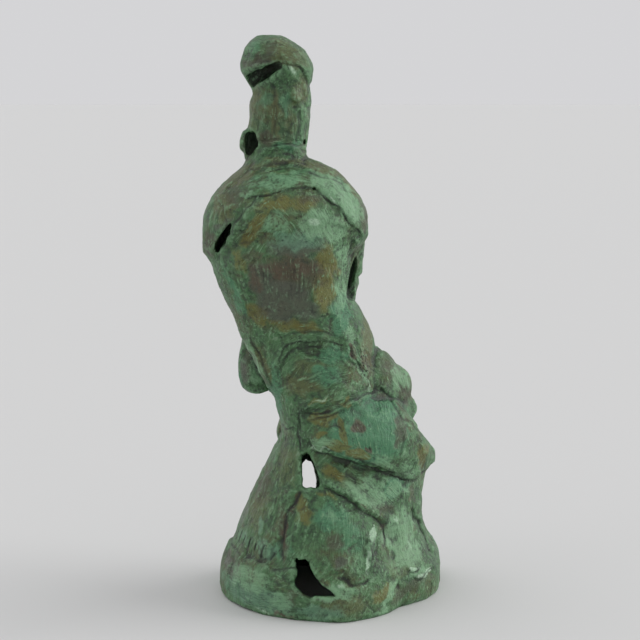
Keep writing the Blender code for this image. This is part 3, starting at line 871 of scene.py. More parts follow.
@dataclass
class Thigh(Region):
    """The raised thigh and the knee at the right."""

    seams: tuple[Seam, ...] = (
        Seam("lip", ((-6, 113), (2.5, 111.7), (16.7, 109), (29.1, 103.5), (39.6, 98.8), (50.2, 93),
             (60, 87.6), (66, 86.6), (72, 88.4), (77, 91)), 1.1, 3, 0.9, 0.6),
        Seam("line over the lip", ((12, 114), (29, 107.1), (39.4, 103.3), (50, 97), (59, 91.4)),
             0.5, 3, 0.6, 0.6),
        Seam("facet of the knee", ((55, 137), (56.5, 129.4), (58.5, 120.9), (56.5, 107)),
             0.5, 8, 0.3, 1.2),
        Seam("ridge of the knee", ((66, 122), (72, 112), (76, 100), (74, 92)), sink=-0.5, width=1.6),
        Seam("roll by the bead", ((-9.1, 115.8), (-3, 115.6), (2, 114.6), (10, 113)), sink=-0.7),
        Seam("second roll", ((-10, 118.6), (-3, 118.4), (5, 116.8)), sink=-0.5, width=0.8),
        Seam("third roll", ((-11, 121.4), (-4, 121.4), (4, 120)), sink=-0.4, width=0.8),
    )
    combs: tuple[Comb, ...] = (
        Comb("along the lip", ((-4, 117), (16, 112.6), (34, 105.6), (54, 95)),
             ((-4, 121), (16, 118), (36, 112), (56, 102)), 6, 0.28, 0.6),
        Comb("down the thigh", ((10, 142), (14, 130), (20, 116)), ((48, 144), (52, 126), (50, 106)),
             12, 0.2),
        Comb("down the knee", ((60, 124), (64, 110), (62, 96)), ((72, 118), (78, 106), (76, 94)),
             6, 0.28),
    )
    swells: tuple[Swell, ...] = (
        Swell("bead", (-12.8, 111.6), (2.4, 2.2), 1.9),
        Swell("scar", (26.7, 130.4), (4.2, 5), -0.7, 0, 0.4),
        Swell("small scar", (34.4, 113.9), (1.4, 3), -0.8, 20, 0.6),
        Swell("flat of the thigh", (40, 124), (17, 16), -0.5),
        Swell("hollow by the groin", (14, 128), (6, 10), -0.5, 20),
    )
    patches: tuple[Patch, ...] = (
        Patch(Tint.TEAL, (34, 126), (25, 21), 1.6),
        Patch(Tint.MINT, (44, 104), (12, 6), 0.6, -25),
        Patch(Tint.MINT, (2, 119.6), (10, 3.6), 0.9, -6),
        Patch(Tint.MINT, (62, 100), (6, 10), 0.6),
        # painted highlight on the roll by the bead
        Patch(Tint.PALE, (2, 115.4), (9, 0.9), 0.7, -6),
        Patch(Tint.OCHRE, (15.6, 128), (2.8, 9), 1.3, 8),
        Patch(Tint.OCHRE, (12, 118.4), (11, 3.4), 1.1, 4),
        Patch(Tint.OCHRE, (25, 112.8), (9, 2.8), 1.0, -18),
        Patch(Tint.OCHRE, (2.4, 126.5), (4, 2.6), 0.9),
        Patch(Tint.OCHRE, (73, 102), (4, 10), 0.9),
        Patch(Tint.UMBER, (56, 126), (3.5, 12), 0.9),
        Patch(Tint.UMBER, (74, 98), (4, 8), 0.5),
        Patch(Tint.BARE, (26.7, 130.4), (4.4, 5.2), 1.1),
        Patch(Tint.PALE, (26.7, 130.4), (2.0, 2.6), 0.6),
        Patch(Tint.BARE, (34.4, 113.9), (1.7, 3.2), 1.2, 20),
    )


@dataclass
class Skirt(Region):
    """The skirt with its window and mouth, the fall from the knee and the hem."""

    holes: tuple[Hole, ...] = (
        Hole("window", ((-9.6, 111), (-11.8, 109.4), (-12.9, 106.8), (-12.8, 103), (-12.8, 99),
             (-12.8, 93), (-12.8, 88.6), (-12.2, 87.2), (-7.7, 87.2), (-1.6, 87.5), (0.2, 88.4),
             (0.6, 90.5), (0.2, 94.9), (-2.6, 101.6), (-5.2, 107.5), (-7.5, 110.6)), -80, -22),
        Hole("gap in front", ((-16, 64), (-16, 80), (-11, 87), (-6.6, 86.5), (-3.8, 79), (-2.4, 66),
             (-4, 62), (-9, 60)), 25, 90),
        Hole("mouth", ((-17.6, 41.6), (-12, 41.6), (-7.2, 41.3), (-6.1, 37.5), (-2.6, 31.1),
             (0.4, 26.9), (7.5, 22.2), (11.2, 17.6), (8.6, 17), (2, 18.4), (-4, 19.6), (-10, 20.4),
             (-14.4, 21), (-15.9, 22.2), (-16.6, 25), (-17, 29), (-17.4, 36)), -100, -48),
    )
    seams: tuple[Seam, ...] = (
        Seam("lap", ((2, 91.1), (8.6, 86.4), (16.8, 81.6), (25, 76.2), (33.2, 69), (40.6, 61.5),
             (44.3, 56.8), (44.7, 49.5), (44, 43)), 0.8, 3, 0.9, 0.6),
        Seam("ridge over the lap", ((6, 91), (16.5, 85.2), (26, 78.8), (35, 71.4), (43, 63.6)),
             sink=-0.8, width=0.8),
        Seam("bright ridge", ((38.6, 60.6), (38.3, 59.2), (35.6, 50.6), (34.5, 41.6), (33.4, 34.2)),
             sink=-1.2, width=0.8),
        Seam("second bright ridge", ((40.6, 56), (38.6, 47), (37.6, 39), (36, 32)),
             sink=-0.7, width=0.8),
        Seam("crease between them", ((39.6, 56), (37.2, 47), (36, 39)), sink=0.8, width=0.7),
        Seam("left crease", ((-12.9, 86.3), (-15.9, 78.2), (-22, 72.2), (-24.6, 62.3), (-25.1, 52.6),
             (-26.6, 45.6), (-24, 41)), 1.0, 6, 0.9, 1.2),
        Seam("hem", ((-10, 38), (-21.8, 34.6), (-32.1, 34), (-42.6, 35.3), (-50.2, 34.9), (-56.9, 35),
             (-63.7, 36.5), (-70, 41)), 1.0, 5, 0.4, 0.8),
        Seam("right crease", ((65, 67), (67.9, 60.5), (72.9, 46.3), (77.6, 34.1), (81.8, 27.2)),
             1.6, 4, 1.7, 0.8),
        Seam("ridge beside the right crease", ((62, 64), (66, 53), (71, 40), (76, 30)),
             sink=-0.7, width=1.0),
        Seam("upper flake", ((61.9, 26.6), (65.6, 24), (69.2, 23.6), (71.5, 28.2)), 1.6, 3, 0.9, 0.7),
        Seam("lower flake", ((65, 21.4), (67, 18.4), (71.4, 17.8), (76, 20.6), (81, 22.4)),
             1.8, 3, 1.0, 0.7),
        Seam("ridge to the rim", ((57, 27), (54.1, 21.1), (49.7, 16.1), (47.5, 11.1), (41.1, 5.8),
             (38, 2.3)), sink=-1.1, width=1.2),
        Seam("facet by the rim", ((31, 12), (35.9, 8.2), (41.7, 0.4)), 0.4, 5, 0.5, 1.2),
        Seam("pinch", ((12, 30.5), (16, 28.4), (22.6, 25.1), (29.8, 26), (34, 28)), 0.9, 4, 1.2, 1.2),
        Seam("roll under the pinch", ((12, 25), (18, 22.6), (26, 22.4)), sink=-0.6, width=1.4),
        Seam("soft fold at the left", ((-22, 118), (-30.8, 105.2), (-40.2, 81.7), (-48.5, 58.4)),
             sink=-0.5, width=2.6),
        Seam("soft fold of the middle", ((-4, 84), (-9, 68), (-12, 54)), sink=0.5, width=2.4),
        Seam("swirl", ((48.5, 59), (50.5, 61), (53.5, 60), (54.6, 57), (52.6, 54.6), (49.4, 54.8)),
             sink=-0.6, width=0.9),
        Seam("front fold 1", ((-32, 84), (-40, 50), (-48, 12)), 0.4, 6, 0.9, 1.2, Side.FRONT),
        Seam("front fold 2", ((6, 96), (10, 56), (6, 14)), 0.4, 6, 0.9, 1.2, Side.FRONT),
        Seam("front hem", ((84, 30), (40, 22), (0, 20), (-40, 26), (-70, 38)),
             0.7, 6, 0.6, 0.9, Side.FRONT),
        Seam("front waist", ((32, 186), (0, 178), (-30, 182), (-54, 196)), 0.5, 6, 0.7, 0.9,
             Side.FRONT),
        Seam("front edge of the cape, left", ((-27, 226), (-44, 240), (-66, 252), (-80, 262)),
             0.9, 6, 0.8, 0.8, Side.FRONT),
        Seam("front edge of the cape, right", ((32, 262), (16, 250), (-8, 240), (-27, 226)),
             0.9, 6, 0.8, 0.8, Side.FRONT),
    )
    combs: tuple[Comb, ...] = (
        Comb("down the left of the skirt", ((-32, 116), (-46, 82), (-60, 50)),
             ((-15, 116), (-22, 84), (-30, 50)), 16, 0.28),
        Comb("along the fall", ((4, 98), (24, 88), (44, 72)), ((28, 100), (44, 92), (58, 76)),
             11, 0.25),
        Comb("scratches on the fall", ((30, 88), (38, 84)), ((40, 92), (50, 86)), 6, 0.45, 0.6),
        Comb("down the right of the skirt", ((46, 66), (46, 50), (48, 34)),
             ((62, 78), (66, 56), (70, 38)),
             10, 0.28),
        Comb("over the middle", ((-8, 80), (-14, 66), (-18, 50)), ((28, 66), (30, 52), (28, 38)),
             13, 0.22),
        Comb("along the hem", ((-66, 30), (-44, 28), (-20, 28)), ((-62, 8), (-36, 6), (-10, 8)),
             8, 0.25),
        Comb("over the front of the skirt", ((-36, 84), (-44, 50), (-52, 14)),
             ((56, 84), (60, 50), (64, 14)),
             20, 0.25, 0.9, Side.FRONT),
        Comb("over the chest", ((-48, 286), (-54, 264), (-52, 240)), ((-4, 286), (-2, 264), (-2, 240)),
             14, 0.2, 0.9, Side.FRONT),
    )
    swells: tuple[Swell, ...] = (
        Swell("middle of the skirt", (6, 58), (22, 22), 1.0),
        Swell("smear on the left", (-41.9, 58), (3.0, 6.0), 0.6, -10, 0.4),
        Swell("lump by the marks", (-37.4, 43), (5, 5), 0.7, 0, 0.6),
        Swell("dent in the hem", (-62.9, 25.4), (7, 8), -0.8),
        Swell("hollow under the ridge", (33, 30), (6, 4), -0.9),
        Swell("shadow in the middle", (13.6, 41), (6, 4), -0.7),
        Swell("flat at the rim", (40, 8), (9, 8), -0.6, 0, 0.6),
        Swell("flat under the lip", (24, 92), (20, 8), -0.6, -22),
        Swell("foot at the right", (72, 10), (12, 9), 0.4),
        Swell("dent between the folds", (54, 46), (9, 14), -0.6),
        Swell("knob by the pinch", (14, 25.4), (3, 3), 0.7),
    )
    patches: tuple[Patch, ...] = (
        Patch(Tint.OLIVE, (18, 92), (18, 5), 0.5, -24),
        Patch(Tint.MINT, (34, 82), (18, 6), 0.9, -32),
        Patch(Tint.UMBER, (40, 75), (13, 2.4), 0.9, -38),
        Patch(Tint.UMBER, (-40, 84), (4, 14), 0.8, -22),
        Patch(Tint.UMBER, (-25.5, 56), (2.6, 18), 1.1, 6),
        Patch(Tint.UMBER, (-62.9, 25.4), (6, 8), 1.4),
        Patch(Tint.UMBER, (62, 12), (14, 4), 0.7, 25),
        Patch(Tint.OLIVE, (18, 12), (16, 6), 0.7),
        Patch(Tint.UMBER, (-20, 14), (6, 8), 0.7),
        Patch(Tint.UMBER, (10.5, 52.9), (6, 6), 0.8),
        Patch(Tint.UMBER, (46, 52), (2.4, 12), 0.9, -5),
        Patch(Tint.OLIVE, (-24, 100), (8, 16), 0.6, -15),
        Patch(Tint.OLIVE, (-44, 66), (8, 14), 0.6, -20),
        Patch(Tint.OLIVE, (24, 12), (26, 4), 0.5, 6),
        Patch(Tint.MINT, (10, 20), (20, 5), 0.9, 4),
        Patch(Tint.OLIVE, (60, 30), (12, 8), 0.7, 25),
        Patch(Tint.OCHRE, (8, 99), (9, 4), 0.9, -20),
        Patch(Tint.OCHRE, (-11, 74), (6, 10), 0.9, 15),
        Patch(Tint.OCHRE, (4, 84), (8, 3), 0.7, -25),
        Patch(Tint.OCHRE, (44, 16), (8, 4), 0.8, 25),
        Patch(Tint.SLATE, (13.6, 40.5), (6, 4), 1.0),
        Patch(Tint.SLATE, (-62.9, 25.4), (5, 6), 0.8),
        Patch(Tint.SLATE, (-57, 60), (5, 10), 0.6, -20),
        Patch(Tint.TEAL, (8, 70), (12, 8), 0.9),
        Patch(Tint.TEAL, (20, 56), (12, 12), 0.6),
        Patch(Tint.TEAL, (52, 84), (10, 7), 0.9),
        Patch(Tint.MINT, (56, 52), (12, 15), 1.2),
        Patch(Tint.MINT, (62, 34), (12, 8), 1.0, 20),
        # painted highlight on the swirl
        Patch(Tint.PALE, (54, 62), (3, 1.4), 0.6, -20),
        Patch(Tint.PALE, (62, 40), (2, 4), 0.5, 10),
        Patch(Tint.TEAL, (-28, 46), (10, 6), 0.6),
        Patch(Tint.MINT, (36, 88), (9, 4.4), 0.9, -10),
        Patch(Tint.MINT, (54, 82), (10, 5), 0.7, -20),
        Patch(Tint.MINT, (8, 70), (6, 5), 0.6),
        Patch(Tint.MINT, (35.4, 46), (2.6, 13), 0.9, -6),
        Patch(Tint.MINT, (26, 40), (5, 8), 0.5),
        Patch(Tint.MINT, (50, 58), (5, 5), 0.6),
        Patch(Tint.MINT, (42.6, 3.2), (5, 3.4), 1.1),
        Patch(Tint.MINT, (50, 15.6), (2.0, 11), 0.9, -30),
        # painted highlights on the bright ridges and the two flakes
        Patch(Tint.PALE, (37.2, 56), (1.1, 6), 1.1, -14),
        Patch(Tint.PALE, (34.0, 38), (1.2, 6), 1.2, -4),
        Patch(Tint.PALE, (67, 24.8), (4.5, 1.4), 1.1, -10),
        Patch(Tint.PALE, (74, 19.8), (6.5, 1.6), 1.1, 14),
        Patch(Tint.MINT, (68, 22), (9, 4), 0.8, 10),
        # painted highlight on the knob by the pinch
        Patch(Tint.PALE, (14, 25.2), (1.8, 2), 0.6),
        Patch(Tint.PALE, (-36, 2.8), (10, 1.6), 0.6, -4),
        Patch(Tint.ICE, (-44, 12), (26, 9), 1.0, -6),
        Patch(Tint.MINT, (-50, 22), (14, 8), 0.9),
        Patch(Tint.MINT, (-28, 12), (10, 7), 0.7),
        Patch(Tint.ICE, (-37.4, 43), (7, 6), 0.9, -10),
        Patch(Tint.ICE, (-41.9, 58), (2.6, 6), 0.9, -10),
        Patch(Tint.ICE, (-54, 46), (6, 4), 0.5, -20),
        Patch(Tint.ICE, (0, 7), (18, 5), 0.8),
        Patch(Tint.BARE, (-24, 2.6), (6, 2.2), 1.5),
        Patch(Tint.UMBER, (-3, 17.4), (13, 2.2), 1.3, -8),
        Patch(Tint.BARE, (43, 60), (2, 4), 0.7, -40),
        Patch(Tint.BARE, (-18, 77), (2, 9), 0.8, -30),
        Patch(Tint.BARE, (-25, 55), (2, 13), 0.8),
        Patch(Tint.BARE, (65, 76), (3, 7), 0.6),
        Patch(Tint.BARE, (31, 74.6), (14, 0.9), 0.6, -38),
    )


@dataclass(frozen=True)
class Grains:
    """The place on the piece and the noises read there, from the broadest to the finest."""

    place: Socket
    broad: Socket
    middle: Socket
    fine: Socket
    grain: Socket
    brushed: Socket


@dataclass(frozen=True)
class PatinaWithPaintedLight:
    """The finish: verdigris over brown bronze, with ochre, umber and slate patches, painted shade in
    the hollows and grooves, and painted highlights on the edges and ridges.

    Colours are linear, the sizes of the noises are in metres and the slant is in degrees.
    """

    deep: tuple = colour(38, 66, 38)
    green: tuple = colour(72, 114, 70)
    light: tuple = colour(124, 166, 126)
    olive: tuple = colour(86, 90, 50)
    ochre: tuple = colour(104, 98, 36)
    umber: tuple = colour(66, 64, 44)
    slate: tuple = colour(74, 78, 65)
    teal: tuple = colour(70, 128, 92)
    ice: tuple = colour(98, 140, 112)
    # mint patina, also laid on the convex edges as wear and painted highlight
    mint: tuple = colour(122, 164, 124)
    # pale patina, and the painted highlights on ridges, flakes and edges
    pale: tuple = colour(176, 206, 176)
    bare: tuple = colour(80, 63, 47)
    # dark colour: painted shade in the hollows and along the grooves, and the dark specks, pits and cut
    # strokes
    shade_and_grime: tuple = colour(20, 24, 18)
    broad: float = 0.030
    middle: float = 0.010
    fine: float = 0.0026
    grain: float = 0.0012
    pit: float = 0.0024
    comb_width: float = 1.5                 # across and along the combs, in drawing units
    comb_length: float = 11.0
    stroke: tuple = (520.0, 520.0, 110.0)   # waves to a metre, across and along free strokes
    slant: float = -35.0
    bump: float = 0.0009

    def material(self) -> Material:
        """Makes the shader of the cast and patinated skin, with its painted shade and highlights.

        Returns:
            The material.
        """
        # the material holds the patina together with the painted shade and highlights
        material = bpy.data.materials.new("verdigris over bronze")
        material.use_nodes = True
        graph = Graph(material.node_tree)
        surface = material.node_tree.nodes["Principled BSDF"]
        grains = self.grains(graph)
        pits = self.pits(graph, grains)
        shade = self.tinted(graph, grains, self.ground(graph, grains))
        graph.tree.links.new(self.wear_and_painted_light(graph, grains, pits, shade), surface.inputs["Base Color"])
        gloss = graph.ramp(graph.attribute(Tint.SLATE.value), 0.2, 0.9, 0.5, 0.4)
        rough = graph.math("ADD", gloss, graph.ramp(grains.fine, 0.3, 0.7, -0.08, 0.14))
        graph.tree.links.new(rough, surface.inputs["Roughness"])
        height = self.height(graph, grains, pits)
        bump = graph.add("ShaderNodeBump", {"Strength": 0.9, "Distance": self.bump, "Height": height})
        graph.tree.links.new(bump.outputs[0], surface.inputs["Normal"])
        surface.inputs["Metallic"].default_value = 0.0
        surface.inputs["Specular IOR Level"].default_value = 0.5
        return material

    def grains(self, graph: Graph) -> Grains:
        """Adds the noises.

        Args:
            graph: The material's nodes.

        Returns:
            The noises, read at places on the piece.
        """
        place = graph.add("ShaderNodeTexCoord").outputs["Object"]
        aside = graph.vector("ADD", place, (3.1, 1.7, 0.4))
        return Grains(
            place=place,
            broad=graph.noise(place, 1 / self.broad, 4, 0.6, 0.4),
            middle=graph.noise(aside, 1 / self.middle, 5, 0.6, 0.5),
            fine=graph.noise(place, 1 / self.fine, 4, 0.65, 0.2),
            grain=graph.noise(place, 1 / self.grain, 2, 0.6),
            brushed=self.brushed(graph, place),
        )

    def brushed(self, graph: Graph, place: Socket) -> Socket:
        """Adds noise in fine strokes: along the combs, and elsewhere up and to the right.

        Args:
            graph: The material's nodes.
            place: The place on the piece.

        Returns:
            The noise's value, from 0 to 1.
        """
        angle = math.radians(self.slant)
        turned = graph.add("ShaderNodeVectorRotate", {"Vector": place, "Angle": angle},
                           rotation_type="Y_AXIS")
        free = graph.noise(graph.vector("MULTIPLY", turned.outputs[0], self.stroke), 1.0, 3, 0.6, 0.6)
        way = graph.add("ShaderNodeCombineXYZ", {
            "X": graph.math("DIVIDE", graph.attribute("across"), self.comb_width),
            "Y": graph.math("DIVIDE", graph.attribute("along"), self.comb_length),
        })
        combed = graph.noise(way.outputs[0], 1.0, 3, 0.65, 0.25)
        change = graph.times(graph.math("SUBTRACT", combed, free), graph.attribute("combed"))
        return graph.math("ADD", free, change)

    @staticmethod
    def mottled(graph: Graph, grains: Grains, tint: Tint) -> Socket:
        """Breaks up the edges of a tint's painted patches.

        Args:
            graph: The material's nodes.
            grains: The noises.
            tint: The tint.

        Returns:
            Where the tint lies, from 0 to 1.
        """
        noise = graph.math("ADD", graph.times(grains.middle, 1.1), graph.times(grains.brushed, 0.8))
        noise = graph.math("ADD", noise, graph.times(grains.fine, 0.9))
        level = graph.math("ADD", graph.attribute(tint.value), graph.math("SUBTRACT", noise, 1.4))
        return graph.ramp(level, 0.16, 0.94)

    def ground(self, graph: Graph, grains: Grains) -> Socket:
        """Mixes the green ground, light where it was brushed and with a broken olive veil.

        Args:
            graph: The material's nodes.
            grains: The noises.

        Returns:
            The colour.
        """
        tone = graph.math("ADD", graph.times(grains.middle, 0.6), graph.times(grains.fine, 0.4))
        shade = graph.mix(graph.ramp(tone, 0.34, 0.6), self.deep, self.green)
        light = graph.times(graph.ramp(grains.brushed, 0.48, 0.72), graph.ramp(grains.broad, 0.36, 0.6))
        shade = graph.laid(shade, self.light, light, 0.5)
        shade = graph.laid(shade, self.deep, graph.ramp(grains.brushed, 0.46, 0.3), 0.7)
        veil = graph.times(graph.ramp(grains.broad, 0.44, 0.68), graph.ramp(grains.middle, 0.66, 0.38))
        return graph.laid(shade, self.olive, veil, 0.8)

    def tinted(self, graph: Graph, grains: Grains, shade: Socket) -> Socket:
        """Lays the tints' patches over a colour, from the most common to the rarest; the pale patches
        hold painted highlights too.

        Args:
            graph: The material's nodes.
            grains: The noises.
            shade: The colour under them.

        Returns:
            The new colour.
        """
        for tint, over, share in (
            (Tint.OLIVE, self.olive, 0.8), (Tint.TEAL, self.teal, 0.75), (Tint.OCHRE, self.ochre, 0.75),
            (Tint.UMBER, self.umber, 0.8), (Tint.SLATE, self.slate, 0.8), (Tint.ICE, self.ice, 0.7),
            (Tint.MINT, self.mint, 0.75), (Tint.PALE, self.pale, 0.8), (Tint.BARE, self.bare, 0.85),
        ):
            shade = graph.laid(shade, over, self.mottled(graph, grains, tint), share)
        return shade

    def pits(self, graph: Graph, grains: Grains) -> Socket:
        """Scatters pinprick pits where the painted pitting says.

        Args:
            graph: The material's nodes.
            grains: The noises.

        Returns:
            Where the pits are, from 0 to 1.
        """
        spots = graph.ramp(graph.cells(grains.place, 1 / self.pit), 0.34, 0.2)
        spots = graph.times(spots, graph.ramp(graph.attribute("pitting"), 0.1, 0.9))
        return graph.times(spots, graph.ramp(grains.middle, 0.4, 0.6))

    def wear_and_painted_light(self, graph: Graph, grains: Grains, pits: Socket, shade: Socket) -> Socket:
        """Lays bright wear and a painted highlight on the edges, painted glints on the strokes, painted
        shade in the hollows and grooves, and dark specks, pits and cuts.

        Args:
            graph: The material's nodes.
            grains: The noises.
            pits: Where the pits are.
            shade: The colour under it.

        Returns:
            The new colour.
        """
        # rubbed wear and painted highlight on the convex edges
        edge = graph.times(graph.attribute("edge"), graph.ramp(grains.fine, 0.35, 0.6))
        shade = graph.laid(shade, self.mint, edge, 0.5)
        # painted shade in the hollows, where the skin lies below its smoothed form
        shade = graph.laid(shade, self.shade_and_grime, graph.attribute("hollow"), 0.8)
        # painted shade along the bottoms of the grooves
        line = graph.times(graph.attribute("crease"), graph.ramp(grains.fine, 0.3, 0.5, 0.5, 1.0))
        shade = graph.laid(shade, self.shade_and_grime, line, 0.8)
        dark = graph.times(graph.ramp(grains.fine, 0.5, 0.34), graph.ramp(grains.middle, 0.56, 0.4))
        shade = graph.laid(shade, self.shade_and_grime, dark, 0.4)
        glint = graph.times(graph.ramp(grains.brushed, 0.54, 0.68), graph.ramp(grains.fine, 0.44, 0.6))
        muted = graph.ramp(graph.attribute(Tint.SLATE.value), 0.2, 0.8, 0.6, 0.2)
        shade = graph.mix(graph.times(glint, muted), shade, self.light)
        freckle = graph.times(graph.ramp(grains.grain, 0.56, 0.7), graph.ramp(grains.fine, 0.6, 0.4))
        shade = graph.laid(shade, self.shade_and_grime, freckle, 0.55)
        shade = graph.laid(shade, self.shade_and_grime, pits, 0.85)
        return graph.laid(shade, self.shade_and_grime, graph.attribute("cut"), 0.85)

    @staticmethod
    def height(graph: Graph, grains: Grains, pits: Socket) -> Socket:
        """Adds up the finest relief.

        Args:
            graph: The material's nodes.
            grains: The noises.
            pits: Where the pits are.

        Returns:
            The height, in shares of the bump.
        """
        height = graph.math("ADD", graph.times(grains.fine, 0.8), graph.times(grains.grain, 0.4))
        height = graph.math("ADD", height, graph.times(grains.middle, 0.8))
        height = graph.math("ADD", height, graph.times(grains.brushed, 1.5))
        return graph.math("SUBTRACT", height, pits)


@dataclass
class Inscription:
    """A row of shallow strokes on the skirt, where the real figure bears hand-cut marks."""

    path: Points = ((-60.9, 44), (-55, 45), (-49.3, 44.8), (-43.8, 43.6), (-38.5, 42.4), (-33.2, 40.6))
    count: int = 9
    length: float = 8.5
    shortest: float = 0.45                # the shares of the length that the strokes vary between
    longest: float = 1.1
    lean: float = 24.0                    # in degrees
    sway: float = 0.35                    # how far each one leans besides, in radians
    seed: int = 5
    stretch_seed: int = 7                 # is added to the first
    nudges: tuple = (0.0, 0.05, -0.05, 0.1, -0.1)
    behind: float = -200.0                # rays start there, well behind the figure
    back: float = -60.0                   # about where the skirt's back is

    def tree(self) -> tuple[NodeTree, dict[str, str]]:
        """Builds the tree that sets strokes along a curve and lays them on the skin.

        Returns:
            The tree, and the identifier of each named input.
        """
        graph, names = geometry_tree("row of strokes", {
            "Count": "Int", "Length": "Float", "Lean": "Float", "Seed": "Int", "Skin": "Object",
            "Finish": "Material",
        })
        given = graph.add("NodeGroupInput").outputs
        half = graph.times(given["Length"], 0.5)
        low = graph.add("ShaderNodeCombineXYZ", {"Z": graph.times(half, -1.0)})
        high = graph.add("ShaderNodeCombineXYZ", {"Z": half})
        stroke = graph.add("GeometryNodeMeshLine", {
            "Count": 8, "Start Location": low.outputs[0], "Offset": high.outputs[0],
        }, mode="END_POINTS")
        places = graph.add("GeometryNodeResampleCurve", {
            "Curve": given["Geometry"], "Count": given["Count"],
        })
        sway = graph.add("FunctionNodeRandomValue", {
            2: -self.sway, 3: self.sway, "Seed": given["Seed"],
        })
        turn = graph.math("ADD", graph.math("RADIANS", given["Lean"]), sway.outputs[1])
        stretch = graph.add("FunctionNodeRandomValue", {
            2: self.shortest, 3: self.longest,
            "Seed": graph.math("ADD", given["Seed"], float(self.stretch_seed)),
        })
        rows = graph.add("GeometryNodeInstanceOnPoints", {
            "Points": places.outputs[0], "Instance": stroke.outputs[0],
            "Rotation": graph.add("ShaderNodeCombineXYZ", {"Y": turn}).outputs[0],
            "Scale": graph.add("ShaderNodeCombineXYZ", {
                "X": 1.0, "Y": 1.0, "Z": stretch.outputs[1],
            }).outputs[0],
        })
        real = graph.add("GeometryNodeRealizeInstances", {0: rows.outputs[0]})
        skin = graph.add("GeometryNodeObjectInfo", {"Object": given["Skin"]})
        near = graph.add("GeometryNodeProximity", {0: skin.outputs["Geometry"]}, target_element="FACES")
        laid = graph.add("GeometryNodeSetPosition", {0: real.outputs[0], "Position": near.outputs[0]})
        done = graph.add("GeometryNodeSetMaterial", {0: laid.outputs[0], "Material": given["Finish"]})
        graph.add("NodeGroupOutput", {0: done.outputs[0]})
        return graph.tree, names

    def build(self, casting: Object, finish: Material) -> Object:
        """Makes the strokes as bare edges that lie on the casting.

        Args:
            casting: The skin that they are laid on.
            finish: The material of the skin.

        Returns:
            The object that holds them, to be cut into the skin and then removed.
        """
        curve = bpy.data.curves.new("line of strokes", "CURVE")
        curve.dimensions = "3D"
        spline = curve.splines.new("POLY")
        spline.points.add(len(self.path) - 1)
        shape = BVHTree.FromObject(casting, bpy.context.evaluated_depsgraph_get())
        for point, (x, z) in zip(spline.points, self.path):
            point.co = (*self.on_skin(shape, x, z), 1.0)
        row = placed("row of strokes", curve)
        tree, names = self.tree()
        strokes = row.modifiers.new("strokes", "NODES")
        strokes.node_group = tree
        for name, value in (("Count", self.count), ("Length", self.length * UNIT), ("Lean", self.lean),
                            ("Seed", self.seed), ("Skin", casting), ("Finish", finish)):
            strokes[names[name]] = value
        graph = bpy.context.evaluated_depsgraph_get()
        mesh = bpy.data.meshes.new_from_object(row.evaluated_get(graph))
        bpy.data.objects.remove(row)
        return placed("strokes", mesh)

    def on_skin(self, shape: BVHTree, x: float, z: float) -> Vector:
        """Finds a place on the figure's back, or a hair beside it if a ray slips through.

        Args:
            shape: The casting's faces.
            x: The place's x, in drawing units.
            z: Its height, in drawing units.

        Returns:
            The place, in metres.
        """
        for nudge in self.nudges:
            start = Vector((np.array((x + nudge, self.behind, z + nudge)) + DRAWING_AXIS) * UNIT)
            hit = shape.ray_cast(start, Vector((0, 1, 0)))[0]
            if hit:
                return hit
        return shape.find_nearest(Vector((np.array((x, self.back, z)) + DRAWING_AXIS) * UNIT))[0]


